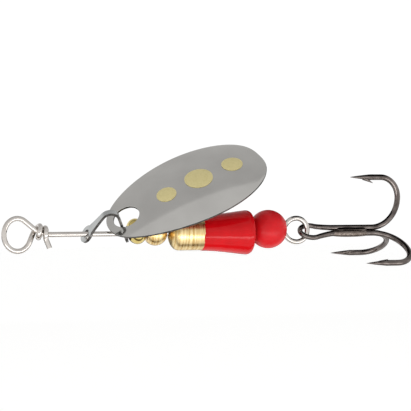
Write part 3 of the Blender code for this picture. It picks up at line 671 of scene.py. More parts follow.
@dataclass
class BladeGroup:
    """The domed blade, its three foil spots and the folded clevis that it hangs in."""

    length: float = 26.4
    width: float = 16.0
    fullness: float = 0.363
    skew: float = 1.216
    long_radius: float = 65.0
    cross_radius: float = 30.0
    sheet: float = 0.38
    swing: float = 19.3
    yaw: float = 17.2
    hole: float = 4.08
    hole_along: float = 3.16
    hole_across: float = 0.35
    spot_along: tuple[float, ...] = (10.05, 15.69, 21.57)
    spot_across: float = -0.12
    spot_sizes: tuple[float, ...] = (3.06, 4.36, 3.26)
    foil: float = 0.06
    foil_gap: float = 0.02
    clevis_front: float = 3.15
    clevis_rear: float = 2.60
    clevis_height: float = 4.05
    clevis_arch: float = 1.35
    clevis_sheet: float = 0.42
    clevis_eye: float = 2.72
    clevis_hole: float = 1.32
    clevis_leg: float = 1.62
    clevis_top: float = 0.88

    def axes(self) -> tuple[Vector, Vector]:
        """The clevis's outward and width directions, from the blade's hinge."""
        across = -Vector(JOINTS["blade_swing"]["axis"]).normalized()
        return across.cross(-X_AXIS).normalized(), across

    def blade_axes(self) -> tuple[Vector, Vector, Vector]:
        """The blade's length, width and outward directions."""
        outward, _ = self.axes()
        a = math.radians(self.swing)
        along = X_AXIS * math.cos(a) + outward * math.sin(a)
        normal = outward * math.cos(a) - X_AXIS * math.sin(a)
        side = normal.cross(along)
        y = math.radians(self.yaw)
        return along * math.cos(y) + side * math.sin(y), side * math.cos(y) - along * math.sin(y), normal

    def dome(self, u: float, w: float, lift: float) -> Vector:
        """A flat point of the blade laid on its dome and lifted along the surface's own normal.

        Args:
            u: Distance from the tip.
            w: Distance across.
            lift: Height over the middle surface.

        Returns:
            The point in metres, from the blade's tip.
        """
        length, width, normal = self.blade_axes()
        du = u - self.length / 2
        drop = du**2 / (2 * self.long_radius) + w**2 / (2 * self.cross_radius)
        local = (normal + length * (du / self.long_radius) + width * (w / self.cross_radius)).normalized()
        return (length * u + width * w - normal * drop + local * lift) * MM

    def outline(self, turn: float) -> tuple[float, float]:
        """The teardrop outline at a turn from 0 to 1, starting at the tip."""
        a = 2 * math.pi * turn
        t = (1 - math.cos(a)) / 2
        half = self.width / 2 * abs(math.sin(math.pi * t**self.skew)) ** self.fullness
        return t * self.length, half if a < math.pi else -half

    def sheet_form(self, bm: bmesh.types.BMesh, low: float, high: float, edge: float) -> None:
        """Lays a flat mesh of (u, w) points on the dome as a closed sheet with rounded edges.

        Args:
            bm: A flat mesh whose X and Y are the blade's length and width in millimetres.
            low: Height of the underside over the blade's middle surface.
            high: Height of the top.
            edge: Rounding of the rims.
        """
        faces = list(bm.faces)
        made = bmesh.ops.extrude_face_region(bm, geom=faces)["geom"]
        top = {g for g in made if isinstance(g, bmesh.types.BMVert)}
        for v in bm.verts:
            v.co = self.dome(v.co.x, v.co.y, high if v in top else low)
        bmesh.ops.recalc_face_normals(bm, faces=bm.faces)
        rim = [e for e in bm.edges if len(e.link_faces) == 2 and e.calc_face_angle(0.0) > 1.0]
        bmesh.ops.bevel(
            bm, geom=rim, offset=edge * MM, segments=3, profile=0.5, affect="EDGES", material=-1
        )

    def blade(self) -> bpy.types.Object:
        """Stamps the blade: an outline ring bridged to the hole's ring, divided and domed."""
        steps = 160
        bm = bmesh.new()
        outer = bmesh.ops.create_circle(bm, segments=steps, radius=1.0)["verts"]
        inner = bmesh.ops.create_circle(bm, segments=steps, radius=self.hole / 2)["verts"]
        for i, v in enumerate(outer):
            u, w = self.outline(i / steps)
            v.co = (u, w, 0)
        for i, v in enumerate(inner):
            a = math.pi - 2 * math.pi * i / steps
            across = self.hole_across + self.hole / 2 * math.sin(a)
            v.co = (self.hole_along + self.hole / 2 * math.cos(a), across, 0)
        made = bmesh.ops.bridge_loops(bm, edges=list(bm.edges))
        bmesh.ops.subdivide_edges(bm, edges=made["edges"], cuts=26, use_grid_fill=True)
        self.sheet_form(bm, -self.sheet / 2, self.sheet / 2, 0.07)
        return as_object(bm, "blade_shell", 50.0)

    def spot(self, label: str, u: float, across: float, seat: Vector) -> bpy.types.Object:
        """Lays one foil disc on the dome.

        Args:
            label: Which spot.
            u: Distance of its middle from the blade's tip.
            across: Its diameter.
            seat: Where the blade's tip is.

        Returns:
            The disc.
        """
        bm = bmesh.new()
        middle = Matrix.Translation((u, self.spot_across, 0))
        bmesh.ops.create_circle(bm, cap_ends=True, segments=72, radius=across / 2, matrix=middle)
        for _ in range(4):
            face = max(bm.faces, key=lambda f: len(f.verts))
            bmesh.ops.inset_region(bm, faces=[face], thickness=across / 11, use_even_offset=True)
        low = self.sheet / 2 + self.foil_gap
        self.sheet_form(bm, low, low + self.foil, 0.02)
        made = as_object(bm, "foil_" + label, 50.0)
        made.data.transform(Matrix.Translation(seat))
        return made

    def clevis_line(self, side: int) -> tuple[float, float]:
        """Slope and length of one leg, -1 for the front one and 1 for the rear one.

        Args:
            side: Which leg.

        Returns:
            The slope in radians and the straight length.
        """
        top = self.clevis_height - self.clevis_arch
        span = self.clevis_rear if side > 0 else self.clevis_front
        reach = math.hypot(span, top)
        slope = math.atan2(top, span) + math.asin(self.clevis_arch / reach)
        return slope, math.sqrt(reach**2 - self.clevis_arch**2)

    def clevis_at(self, s: float) -> tuple[float, float, float]:
        """Place along the shaft, height and slope at distance s along the strip from its top.

        Args:
            s: Distance along the strip, negative towards the line tie.

        Returns:
            X and height in millimetres, and the slope in radians.
        """
        side = 1 if s >= 0 else -1
        slope, _ = self.clevis_line(side)
        top = self.clevis_height - self.clevis_arch
        bend = slope * self.clevis_arch
        d = abs(s)
        if d <= bend:
            a = d / self.clevis_arch
            return side * self.clevis_arch * math.sin(a), top + self.clevis_arch * math.cos(a), -side * a
        x = self.clevis_arch * math.sin(slope) + (d - bend) * math.cos(slope)
        h = top + self.clevis_arch * math.cos(slope) - (d - bend) * math.sin(slope)
        return side * x, h, -side * slope

    def clevis_eye_at(self, side: int) -> float:
        """Distance along the strip from its top to the middle of one eye."""
        slope, leg = self.clevis_line(side)
        return slope * self.clevis_arch + leg

    def clevis_width(self, s: float) -> float:
        """Width of the strip at distance s from its top: a tapering leg that ends in a disc.

        Args:
            s: Distance along the strip.

        Returns:
            The width in millimetres.
        """
        eye = self.clevis_eye_at(1 if s >= 0 else -1)
        radius = self.clevis_eye / 2
        d = abs(s)
        reach = min(1.0, d / (eye * 0.78))
        strip = self.clevis_top + (self.clevis_leg - self.clevis_top) * reach**2
        disc = 2 * math.sqrt(max(0.0, radius**2 - (d - eye) ** 2))
        return disc if d > eye else max(strip, disc)

    def clevis_columns(self) -> list[float]:
        """Distances along the strip at which it is drawn, closer together round the eyes."""
        radius = self.clevis_eye / 2
        front = self.clevis_eye_at(-1)
        rear = self.clevis_eye_at(1)
        turns = [math.pi * i / 36 for i in range(37)]
        made = [-(front + radius * math.cos(a)) for a in turns]
        low = -(front - radius)
        high = rear - radius
        made += [low + (high - low) * i / 90 for i in range(1, 90)]
        return made + [rear - radius * math.cos(a) for a in turns]

    def clevis(self) -> bpy.types.Object:
        """Folds the strip over its arch and pierces its two eyes."""
        outward, _ = self.axes()
        seat = joint_place("clevis_spin")
        columns = self.clevis_columns()
        bm = bmesh.new()
        bmesh.ops.create_grid(bm, x_segments=len(columns) - 1, y_segments=12, size=1.0)
        for v in bm.verts:
            s = columns[round((v.co.x + 1) / 2 * (len(columns) - 1))]
            v.co = (s, v.co.y * self.clevis_width(s) / 2, 0)
        self.thicken(bm)
        bmesh.ops.remove_doubles(bm, verts=bm.verts, dist=1e-6)
        bmesh.ops.dissolve_degenerate(bm, edges=bm.edges, dist=1e-7)
        strip = as_object(bm, "clevis_strip")
        for side in (-1, 1):
            x, h, slope = self.clevis_at(side * self.clevis_eye_at(side))
            normal = outward * math.cos(slope) - X_AXIS * math.sin(slope)
            place = Matrix.Translation(seat + (X_AXIS * x + outward * h) * MM)
            hole = bmesh.new()
            bmesh.ops.create_cone(
                hole, cap_ends=True, segments=48, radius1=self.clevis_hole / 2 * MM,
                radius2=self.clevis_hole / 2 * MM, depth=2 * MM,
                matrix=place @ normal.to_track_quat("Z", "Y").to_matrix().to_4x4(),
            )
            combined(strip, as_object(hole, "clevis_bore"), "DIFFERENCE")
        rounding = strip.modifiers.new("rolled_edges", "BEVEL")
        rounding.width = 0.06 * MM
        rounding.segments = 3
        rounding.limit_method = "ANGLE"
        rounding.angle_limit = math.radians(50)
        return strip

    def thicken(self, bm: bmesh.types.BMesh) -> None:
        """Gives the flat strip its thickness and bends it over the arch."""
        outward, across = self.axes()
        seat = joint_place("clevis_spin")
        made = bmesh.ops.extrude_face_region(bm, geom=list(bm.faces))["geom"]
        top = {g for g in made if isinstance(g, bmesh.types.BMVert)}
        for v in bm.verts:
            x, h, slope = self.clevis_at(v.co.x)
            normal = outward * math.cos(slope) - X_AXIS * math.sin(slope)
            lift = self.clevis_sheet / 2 * (1 if v in top else -1)
            v.co = seat + (X_AXIS * x + outward * h + across * v.co.y + normal * lift) * MM

    def build(self) -> list[bpy.types.Object]:
        """Builds and dresses the clevis, the blade and the spots.

        Returns:
            The pieces made.
        """
        clevis = self.clevis()
        dress(clevis, Body.CLEVIS, "clevis", NICKEL_CLEVIS.material())
        paint_edge_shade(clevis, self.axes()[1:], 0.6)
        blade = self.blade()
        before = blade.data.vertices[0].co.copy()
        settle(blade, "blade")
        seat = blade.data.vertices[0].co - before
        dress(blade, Body.BLADE, "blade", NICKEL_BLADE.material())
        paint_edge_shade(blade, self.blade_axes()[:2], 0.8)
        foil = GOLD_FOIL.material()
        made = [clevis, blade]
        for label, u, size in zip(("front", "middle", "rear"), self.spot_along, self.spot_sizes):
            spot = self.spot(label, u, size, seat)
            dress(spot, Body.BLADE, "spot_" + label, foil)
            made.append(spot)
        return made


@dataclass
class BeadTrain:
    """The turned pieces on the shaft: spacer bead, nose bead, body, its enamel and the red bead."""

    spacer_half: float = 1.565
    spacer_radius: float = 1.98
    spacer_bore: float = 1.10
    nose_radius: float = 1.86
    nose_flat: float = 1.24
    nose_bore: float = 0.50
    red_radius: float = 3.00
    red_bore: float = 0.93
    red_sink: float = 1.55
    red_sink_depth: float = 0.75
    nose_length: float = 1.62
    body_radius: float = 2.66
    front_flat: float = 0.85
    flare_from: float = 5.34  # behind the body's front
    widest_at: float = 12.29
    widest: float = 3.34
    shoulder_at: float = 13.00
    shoulder: float = 2.94
    rim_at: float = 13.38
    rim: float = 1.90
    recess: float = 0.46
    floor_radius: float = 1.30
    body_bore: float = 0.52
    enamel_from: float = 5.19
    enamel_gap: float = 0.015
    enamel_skin: float = 0.09
    enamel_feather: float = 0.35  # the coat thickens over this length
    enamel_ragged: float = 0.7  # its front edge is uneven over this length
    enamel_wander: float = 0.36
    steps: int = 128

    def drilled(self, half: float, radius: float, bore: float, front: float, rear: float) -> list[tuple]:
        """A drilled bead's outline about its middle, its ends cut flat at two radii.

        Args:
            half: Half its length before the cuts.
            radius: Its radius.
            bore: The bore's radius.
            front: Radius of the front flat.
            rear: Radius of the rear flat.

        Returns:
            The closed outline.
        """
        first = math.asin(front / radius)
        last = math.pi - math.asin(rear / radius)
        outline = []
        for i in range(49):
            a = first + (last - first) * i / 48
            outline.append((-half * math.cos(a), radius * math.sin(a)))
        lip = 0.05
        outline.append((outline[-1][0], bore + lip))
        outline.append((outline[-1][0] - lip, bore))
        outline.append((outline[0][0] + lip, bore))
        outline.append((outline[0][0], bore + lip))
        return outline

    def spacer(self) -> bpy.types.Object:
        """The flattened bead, which leans with the clevis's rear leg."""
        flat = self.spacer_bore + 0.06
        bm = bmesh.new()
        outline = self.drilled(self.spacer_half, self.spacer_radius, self.spacer_bore, flat, flat)
        turned(bm, outline, self.steps)
        made = as_object(bm, "bead_spacer")
        lean = X_AXIS.rotation_difference(Vector(JOINTS["spacer_spin"]["axis"])).to_matrix().to_4x4()
        made.data.transform(Matrix.Translation(joint_place("spacer_spin")) @ lean)
        return made

    def nose(self) -> bpy.types.Object:
        """The round nose bead, with a flat on its front."""
        bm = bmesh.new()
        radius = self.nose_radius
        outline = self.drilled(radius, radius, self.nose_bore, self.nose_flat, self.nose_bore + 0.05)
        turned(bm, outline, self.steps)
        made = as_object(bm, "bead_nose")
        settle(made, "nose_bead")
        return made

    def red(self) -> bpy.types.Object:
        """The red bead, with a countersink at the rear for the loop's two legs."""
        radius = self.red_radius
        outline = self.drilled(radius, radius, self.red_bore, self.red_bore + 0.05, self.red_sink)
        rear = outline[48][0]
        outline[49:51] = [(rear - self.red_sink_depth, self.red_bore)]
        bm = bmesh.new()
        turned(bm, outline, self.steps)
        made = as_object(bm, "bead_red")
        settle(made, "red_bead")
        return made

    def body_side(self) -> list[tuple[float, float]]:
        """The body's outside from its front flat to its rear rim, from the front."""
        made = []
        for i in range(25):
            r = self.front_flat + (self.body_radius - self.front_flat) * math.sin(math.pi / 2 * i / 24)
            run = 1 - math.sqrt(max(0.0, 1 - (r / self.body_radius) ** 2))
            made.append((self.nose_length * run, r))
        for i in range(1, 8):
            made.append((self.nose_length + (self.flare_from - self.nose_length) * i / 7, self.body_radius))
        for i in range(1, 33):
            t = i / 32
            grow = min(1.0, t * t * (1.9 - 0.9 * t))
            x = self.flare_from + (self.widest_at - self.flare_from) * t
            made.append((x, self.body_radius + (self.widest - self.body_radius) * grow))
        for i in range(1, 13):
            a = math.pi / 2 * i / 12
            x = self.widest_at + (self.shoulder_at - self.widest_at) * math.sin(a)
            made.append((x, self.shoulder + (self.widest - self.shoulder) * math.cos(a)))
        made.append((self.rim_at, self.rim))
        return made

    def body(self, front: float) -> bpy.types.Object:
        """The turned brass body with its bore and the seat for the red bead.

        Args:
            front: Where the body starts along the shaft, in millimetres.

        Returns:
            The body.
        """
        outline = [(x + front, r) for x, r in self.body_side()]
        floor = front + self.rim_at - self.recess
        outline += [(floor, self.floor_radius), (floor, self.body_bore), (front + 0.06, self.body_bore)]
        outline += [(front, self.body_bore + 0.06)]
        bm = bmesh.new()
        turned(bm, outline, self.steps)
        return as_object(bm, "body_brass")

    def enamel(self, front: float) -> bpy.types.Object:
        """The red coat, whose front edge wanders as a sprayed one does and thins to nothing.

        Args:
            front: Where the body starts along the shaft, in millimetres.

        Returns:
            The coat.
        """
        start = self.enamel_from
        side = [(start, self.body_radius)] + [p for p in self.body_side() if p[0] > start + 0.3]
        inside = []
        outside = []
        for i, (x, r) in enumerate(side):
            before = side[max(0, i - 1)]
            after = side[min(len(side) - 1, i + 1)]
            along = Vector((after[0] - before[0], after[1] - before[1])).normalized()
            swell = min(1.0, (x - start) / self.enamel_feather)
            thick = self.enamel_gap + 0.02 + (self.enamel_skin - 0.02) * swell
            if i == len(side) - 1:
                thick = self.enamel_gap + 0.03
            inside.append((front + x - along.y * self.enamel_gap, r + along.x * self.enamel_gap))
            outside.append((front + x - along.y * thick, r + along.x * thick))
        bm = bmesh.new()
        turned(bm, outside + inside[::-1], self.steps * 2)
        edge = (front + start + self.enamel_ragged) * MM
        for v in bm.verts:
            if v.co.x < edge:
                part = (edge - v.co.x) / (self.enamel_ragged * MM)
                wander = noise.noise(Vector((0, v.co.y, v.co.z)) / MM * 0.9) * 0.5
                wander += noise.noise(Vector((3, v.co.y, v.co.z)) / MM * 3.1) * 0.22
                v.co.x += wander * self.enamel_wander * MM * part
        return as_object(bm, "body_enamel", 60.0)

    def build(self) -> list[bpy.types.Object]:
        """Builds and dresses every turned piece.

        Returns:
            The pieces made.
        """
        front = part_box("body")[0].x / MM
        satin = TURNED_BRASS.material()
        plan: list[tuple[bpy.types.Object, Body, str, bpy.types.Material]] = [
            (self.spacer(), Body.SPACER, "spacer_bead", POLISHED_BRASS.material()),
            (self.nose(), Body.NOSE, "nose_bead", satin),
            (self.body(front), Body.BODY, "body", satin),
            (self.enamel(front), Body.BODY, "enamel", RED_ENAMEL.material()),
            (self.red(), Body.TRAIN, "red_bead", RED_PLASTIC.material()),
        ]
        for piece, body, node, skin in plan:
            dress(piece, body, node, skin)
        return [row[0] for row in plan]


@dataclass
class TrebleHook:
    """One wire bent into two hooks and an eye, a third hook, and the braze that joins them.

    Distances along the shank are measured from the front of the eye.
    """

    wire: float = 0.92
    turn: float = 84.25  # direction of the upper hook, 90 is straight up
    bundle: float = 0.566
    eye_at: float = 2.15
    eye_half_length: float = 1.77
    eye_half_width: float = 1.48
    eye_thinning: float = 0.87
    eye_tilt: float = 50.0  # eye's plane from upright, top away from the blade's side
    eye_leave: float = 62.0  # where the shanks leave the eye, as an angle round it
    eye_pull: float = 1.5  # how gently they bend into the shanks
    braze_lumps: tuple[tuple[float, float], ...] = ((1.1, 0.05), (3.3, 0.015))  # lumps per mm, height
    shank_at: float = 5.80
    single_at: float = 6.20
    bend_from: float = 12.40
    bend_rear: float = 16.82
    bend_rise: float = 5.30
    bend_to: float = 13.80
    bend_ease: float = 1.66  # fullness of the bend, 1.66 is close to round
    gape: float = 8.58
    point_at: float = 8.55
    taper: float = 3.4
    barb_root: float = 10.85
    barb_tip: float = 12.55
    barb_lift: float = 0.95
    braze_from: float = 6.10
    braze_to: float = 11.50
    braze_radius: float = 0.80
    braze_bulge: float = 0.14  # how far the bulge stands off the near lower shank
    sides: int = 24

    def out(self, angle: float) -> Vector:
        """Direction out from the shank."""
        a = math.radians(angle)
        return Vector((0, -math.cos(a), math.sin(a)))

    def at(self, x: float, r: float, angle: float) -> Vector:
        """A point x behind the eye's front and r out from the shank's axis."""
        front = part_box("hook_double")[0].x
        return Vector((front + x * MM, 0, 0)) + self.out(angle) * r * MM

    def bend(self, angle: float) -> tuple[list[Vector], list[float]]:
        """One hook from the shank round the bend to the point, with its radii in metres.

        Args:
            angle: Direction of the hook about the shank.

        Returns:
            The centre line and the wire's radius at each of its points.
        """
        ease = self.bend_ease
        out = self.out(angle)
        a = self.at(self.bend_from, self.bundle, angle)
        b = self.at(self.bend_rear, self.bend_rise, angle)
        c = self.at(self.bend_to, self.gape, angle)
        run = (self.bend_rear - self.bend_from) * ease * MM
        rise = (self.bend_rise - self.bundle) * ease * MM
        line = [a] + hermite(a, X_AXIS * run, b, out * rise, 30)
        run = (self.bend_rear - self.bend_to) * ease * MM
        rise = (self.gape - self.bend_rise) * ease * MM
        line += hermite(b, out * rise, c, X_AXIS * -run, 26)
        scales = [1.0] * len(line)
        steps = 26
        for i in range(1, steps + 1):
            x = self.bend_to + (self.point_at - self.bend_to) * i / steps
            line.append(self.at(x, self.gape, angle))
            left = (x - self.point_at) / self.taper
            scales.append(1.0 if left > 1 else max(0.05, left**0.75))
        return line, [self.wire / 2 * MM * s for s in scales]

    def barb(self, angle: float) -> bpy.types.Object:
        """A sliver raised from the wire's inner side, leaning back from the point.

        Args:
            angle: Direction of the hook about the shank.

        Returns:
            The sliver, to be joined to the wire.
        """
        root = self.at(self.barb_root, self.gape - 0.12, angle)
        tip = self.at(self.barb_tip, self.gape - self.barb_lift, angle)
        bm = bmesh.new()
        along = (tip - root).normalized()
        sideways = along.cross(self.out(angle)).normalized()
        flat = sideways.cross(along)
        turn = Matrix((sideways, flat, along)).transposed().to_4x4()
        steps = 9
        frames = []
        for i in range(steps + 1):
            t = i / steps
            wide = self.wire / 2 * (0.62 * (1 - t) ** 0.8 + 0.03)
            deep = self.wire / 2 * (0.75 * (1 - t) ** 0.9 + 0.03)
            size = Matrix.Diagonal((wide * MM, deep * MM, 1.0, 1.0))
            frames.append(Matrix.Translation(root.lerp(tip, t)) @ turn @ size)
        made = bmesh.ops.create_circle(bm, cap_ends=True, segments=16, radius=1.0, matrix=frames[0])
        ring = made["verts"]
        edges = list({e for v in ring for e in v.link_edges})
        for i in range(1, steps + 1):
            ring, edges = grown(bm, edges, frames[i] @ frames[i - 1].inverted())
        bmesh.ops.edgeloop_fill(bm, edges=edges)
        return as_object(bm, "hook_barb")

    def eye(self, angle: float) -> Vector:
        """A point of the eye's centre line; 0 is the rear and 90 the upper side."""
        a = math.radians(angle)
        t = math.radians(self.eye_tilt)
        up = Vector((0, math.sin(t), math.cos(t)))
        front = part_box("hook_double")[0].x
        middle = Vector((front + (self.eye_at + self.eye_half_length * math.cos(a)) * MM, 0, 0))
        return middle + up * self.eye_half_width * math.sin(a) * MM

    def eye_along(self, angle: float) -> Vector:
        """Direction round the eye."""
        return (self.eye(angle + 0.5) - self.eye(angle - 0.5)).normalized()

    def double(self) -> bpy.types.Object:
        """The two hooks that share one wire, with the eye between them."""
        upper = self.turn
        lower = self.turn - 120
        first, first_radii = self.bend(upper)
        second, second_radii = self.bend(lower)
        leave = self.eye_leave
        pull = self.eye_pull * MM
        lead = 16  # points from the eye into a shank
        start = self.at(self.shank_at, self.bundle, upper)
        end = self.at(self.shank_at, self.bundle, lower)
        middle = [start]
        middle += hermite(start, X_AXIS * -pull, self.eye(leave), self.eye_along(leave) * pull, lead)
        middle += [self.eye(leave + (360 - 2 * leave) * i / 56) for i in range(1, 57)]
        middle += hermite(middle[-1], self.eye_along(-leave) * pull, end, X_AXIS * pull, lead)
        last = len(middle) - 1
        thin = [1.0 - (1.0 - self.eye_thinning) * min(1.0, min(i, last - i) / lead) for i in range(last + 1)]
        shank = [first[0].lerp(start, i / 12) for i in range(1, 12)]
        other = [end.lerp(second[0], i / 12) for i in range(1, 12)]
        path = first[::-1] + shank + middle + other + second
        full = self.wire / 2 * MM
        radii = first_radii[::-1] + [full] * 11 + [full * s for s in thin] + [full] * 11 + second_radii
        bm = bmesh.new()
        sweep(bm, path, radii, self.sides, 0.0)
        made = as_object(bm, "hook_pair")
        for angle in (upper, lower):
            combined(made, self.barb(angle), "UNION")
        return made

    def single(self) -> bpy.types.Object:
        """The third hook, whose shank is cut off just behind the eye."""
        angle = self.turn - 240
        line, radii = self.bend(angle)
        start = self.at(self.single_at, self.bundle, angle)
        shank = [start.lerp(line[0], i / 12) for i in range(12)]
        bm = bmesh.new()
        sweep(bm, (shank + line)[::-1], ([self.wire / 2 * MM] * 12 + radii)[::-1], self.sides, 0.0)
        made = as_object(bm, "hook_third")
        combined(made, self.barb(angle), "UNION")
        return made

    def braze(self) -> bpy.types.Object:
        """The metal run into the grooves, with a drawn-out, uneven end at each side."""
        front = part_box("hook_double")[0].x / MM
        low = front + self.braze_from
        high = front + self.braze_to
        outline = [(low, 0.0)]
        count = 40
        for i in range(count + 1):
            t = i / count
            round_end = min(1.0, min(t, 1 - t) / 0.12)
            outline.append((low + (high - low) * t, self.braze_radius * (0.55 + 0.45 * math.sqrt(round_end))))
        outline.append((high, 0.0))
        bm = bmesh.new()
        turned(bm, outline, 64, closed=False)
        bmesh.ops.remove_doubles(bm, verts=bm.verts, dist=1e-7)
        for v in bm.verts:
            lump = sum(noise.noise(v.co / MM * fine) * tall for fine, tall in self.braze_lumps)
            radial = Vector((0, v.co.y, v.co.z))
            if radial.length > 0.2 * MM:
                v.co += radial.normalized() * lump * MM
        made = as_object(bm, "hook_braze", 60.0)
        combined(made, self.swelling(), "UNION")
        return made

    def swelling(self) -> bpy.types.Object:
        """The long low bulge of braze that hugs the near lower shank."""
        angle = self.turn - 120
        start = self.braze_from - 0.5
        length = self.braze_to - start
        full = self.wire / 2 + self.braze_bulge
        count = 32
        outline = [(0.0, 0.0)]
        for i in range(count + 1):
            t = i / count
            outline.append((t * length, full * math.sin(math.pi * (0.04 + 0.92 * t)) ** 0.18))
        outline.append((length, 0.0))
        bm = bmesh.new()
        turned(bm, outline, 48, closed=False)
        made = as_object(bm, "braze_swelling", 60.0)
        made.data.transform(Matrix.Translation(self.at(start, self.bundle, angle)))
        return made

    def paint_bulge_highlight(self, braze: bpy.types.Object) -> None:
        """Gives the bulge's outward faces the painted highlight, and leaves the grooves' filling in its
        painted shade.

        Args:
            braze: The braze, already dressed.
        """
        braze.data.materials.append(PAINTED_HIGHLIGHT_BULGE.material())
        axis = self.at(0.0, self.bundle, self.turn - 120)
        for face in braze.data.polygons:
            off = Vector((0, face.center.y - axis.y, face.center.z - axis.z))
            outward = off.dot(self.out(self.turn - 120)) > -0.25 * self.wire * MM
            if outward and off.length < (self.wire / 2 + self.braze_bulge * 1.3) * MM:
                face.material_index = 1

    def build(self) -> list[bpy.types.Object]:
        """Builds and dresses the hook.

        Returns:
            The pieces made.
        """
        black = BLACK_NICKEL.material()
        pair = self.double()
        third = self.single()
        braze = self.braze()
        dress(pair, Body.HOOK, "hook_double", black)
        dress(third, Body.HOOK, "hook_single", black)
        dress(braze, Body.HOOK, "braze", PAINTED_SHADE_GROOVE_FILL.material())
        self.paint_bulge_highlight(braze)
        return [pair, third, braze]


@dataclass(frozen=True)
class Card:
    """A dull card that only shows in reflections, placed in millimetres from the object's middle."""

    name: str
    at: tuple[float, float, float]
    faces: tuple[float, float, float]
    size: tuple[float, float]  # metres
    grey: str


@dataclass(frozen=True)
class Lamp:
    """A soft rectangular light, placed in millimetres from the object's middle."""

    name: str
    at: tuple[float, float, float]
    faces: tuple[float, float, float]
    size: tuple[float, float]  # metres
    power: float  # watts


# Low behind the object: the thin dark line under every wire and round edge.
CARD_BEHIND = Card("card_behind", (0, 192, -31), (0, 192, 0), (0.7, 0.265), "#35302D")
# Straight below: the browner side of the brass.
CARD_UNDER = Card("card_under", (0, -2, -31), (0, 0, 0), (0.30, 0.012), "#7A6A55")
# Just over the hook, placed from the hook's middle and the object's top: its wires' black upper side.
CARD_OVER = Card("card_over", (2, 15, 3), (2, 15, -17), (0.024, 0.05), "#0E0D0D")
# A wide panel overhead in front: lightens the blade's lower half.
PANEL = Lamp("panel", (0, -228, 400), (0, -228, 0), (1.4, 0.385), 0.26)
# A thin strip low in front: the highlight along the enamel and the wires.
STRIP = Lamp("strip", (0, -50, -27), (0, 0, 0), (0.15, 0.010), 0.020)
# How bright the tent is by height, from the horizon to straight overhead.
TENT = ((0.0, 1.03), (0.24, 1.03), (0.45, 0.78), (0.72, 0.58), (1.0, 0.54))


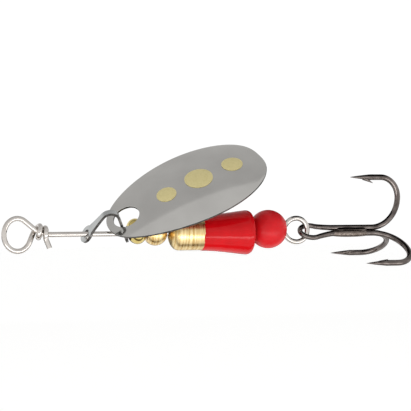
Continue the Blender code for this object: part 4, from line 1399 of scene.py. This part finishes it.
@dataclass
class Studio:
    """A pale floor, an even tent of light and the camera."""

    azimuth: float = -15.9
    elevation: float = -0.3
    roll: float = -0.75
    distance: float = 188.3
    target_back: float = 0.60  # how far the aim lies ahead of the object's middle
    lens: float = 107.3
    rise: float = 0.0663  # the frame stands a little above the object
    floor_drop: float = 34.0
    floor_glow: float = 0.38  # the floor's own light, which keeps it nearly white

    def camera(self) -> None:
        """Stands the camera in front of the blade's side, a little towards the line tie."""
        low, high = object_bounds()
        target = Vector(((low.x + high.x) / 2 - self.target_back * MM, 0, 0))
        a = math.radians(self.azimuth)
        e = math.radians(self.elevation)
        back = Vector((math.sin(a) * math.cos(e), -math.cos(a) * math.cos(e), math.sin(e)))
        right = Vector((math.cos(a), math.sin(a), 0))
        up = back.cross(right)
        t = math.radians(self.roll)
        right, up = right * math.cos(t) + up * math.sin(t), up * math.cos(t) - right * math.sin(t)
        data = bpy.data.cameras.new("camera")
        data.lens = self.lens
        data.sensor_width = 36.0
        data.shift_y = self.rise
        data.clip_start = 0.01
        data.clip_end = 20.0
        made = bpy.data.objects.new("camera", data)
        turn = Matrix((right, up, back)).transposed().to_4x4()
        made.matrix_world = Matrix.Translation(target + back * self.distance * MM) @ turn
        bpy.context.scene.collection.objects.link(made)
        bpy.context.scene.camera = made

    def floor(self) -> None:
        """A plain pale sheet well below the object."""
        low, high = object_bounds()
        bm = bmesh.new()
        place = Matrix.Translation(((low.x + high.x) / 2, 0, -self.floor_drop * MM))
        bmesh.ops.create_grid(bm, x_segments=1, y_segments=1, size=6.0, matrix=place)
        floor = as_object(bm, "floor")
        made = self.paper("paper_pale", "#F4F4F3")
        shader = made.node_tree.nodes["Principled BSDF"]
        shader.inputs["Specular IOR Level"].default_value = 0.1
        shader.inputs["Emission Color"].default_value = (1, 1, 1, 1)
        shader.inputs["Emission Strength"].default_value = self.floor_glow
        floor.data.materials.append(made)
        floor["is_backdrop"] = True

    def paper(self, name: str, grey: str) -> bpy.types.Material:
        """A dull finish for the floor and the cards.

        Args:
            name: The material's name.
            grey: Its colour.

        Returns:
            The finished material.
        """
        made = bpy.data.materials.new(name)
        made.use_nodes = True
        shader = made.node_tree.nodes["Principled BSDF"]
        shader.inputs["Base Color"].default_value = linear(grey)
        shader.inputs["Roughness"].default_value = 0.9
        return made

    def card(self, kind: Card, middle: Vector) -> None:
        """Stands one card.

        Args:
            kind: Its place, size and colour.
            middle: What its place is measured from.
        """
        bm = bmesh.new()
        bmesh.ops.create_grid(bm, x_segments=1, y_segments=1, size=0.5)
        card = as_object(bm, kind.name)
        place = middle + mm(*kind.at)
        turn = (middle + mm(*kind.faces) - place).to_track_quat("Z", "Y").to_matrix().to_4x4()
        card.data.transform(Matrix.Translation(place) @ turn @ Matrix.Diagonal((*kind.size, 1, 1)))
        card.data.materials.append(self.paper(kind.name, kind.grey))
        card.visible_camera = False
        card.visible_diffuse = False
        card.visible_shadow = False
        card.visible_transmission = False
        card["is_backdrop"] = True

    def light(self, lamp: Lamp, middle: Vector) -> None:
        """Hangs one light.

        Args:
            lamp: Its place, size and power.
            middle: What its place is measured from.
        """
        data = bpy.data.lights.new(lamp.name, "AREA")
        data.shape = "RECTANGLE"
        data.size = lamp.size[0]
        data.size_y = lamp.size[1]
        data.energy = lamp.power
        made = bpy.data.objects.new(lamp.name, data)
        place = middle + mm(*lamp.at)
        made.location = place
        made.rotation_mode = "QUATERNION"
        made.rotation_quaternion = (place - (middle + mm(*lamp.faces))).to_track_quat("Z", "Y")
        made.visible_camera = False
        bpy.context.scene.collection.objects.link(made)

    def tent(self) -> None:
        """Light from all round: brightest near the horizon and greyer overhead."""
        world = bpy.data.worlds.new("tent")
        bpy.context.scene.world = world
        world.use_nodes = True
        tree = world.node_tree
        ground = tree.nodes["Background"]
        ways = add_node(tree, "TexCoord").outputs["Generated"]
        height = add_node(tree, "SeparateXYZ", {0: ways}).outputs["Z"]
        ramp = add_node(tree, "ValToRGB", {0: height})
        band = ramp.color_ramp
        while len(band.elements) < len(TENT):
            band.elements.new(0.5)
        for element, (where, bright) in zip(band.elements, TENT):
            element.position = where
            element.color = (bright, bright, bright, 1.0)
        tree.links.new(ramp.outputs["Color"], ground.inputs["Color"])
        ground.inputs["Strength"].default_value = 1.0

    def build(self) -> None:
        """Sets the stage."""
        self.camera()
        self.floor()
        self.tent()
        low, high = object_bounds()
        aim = Vector(((low.x + high.x) / 2, 0, 0))
        over = centre("hook_double")
        over.z = high.z
        for kind, middle in ((CARD_BEHIND, aim), (CARD_UNDER, aim), (CARD_OVER, over)):
            self.card(kind, middle)
        for lamp in (PANEL, STRIP):
            self.light(lamp, aim)
        bpy.context.scene.view_settings.view_transform = "Standard"


def main() -> None:
    """Builds the lure and its stage in order."""
    logging.basicConfig(level=logging.INFO, format="%(message)s")
    ShaftWire().build()
    BladeGroup().build()
    BeadTrain().build()
    TrebleHook().build()
    Studio().build()
    LOG.info("all pieces built")


if __name__ == "__main__":
    main()
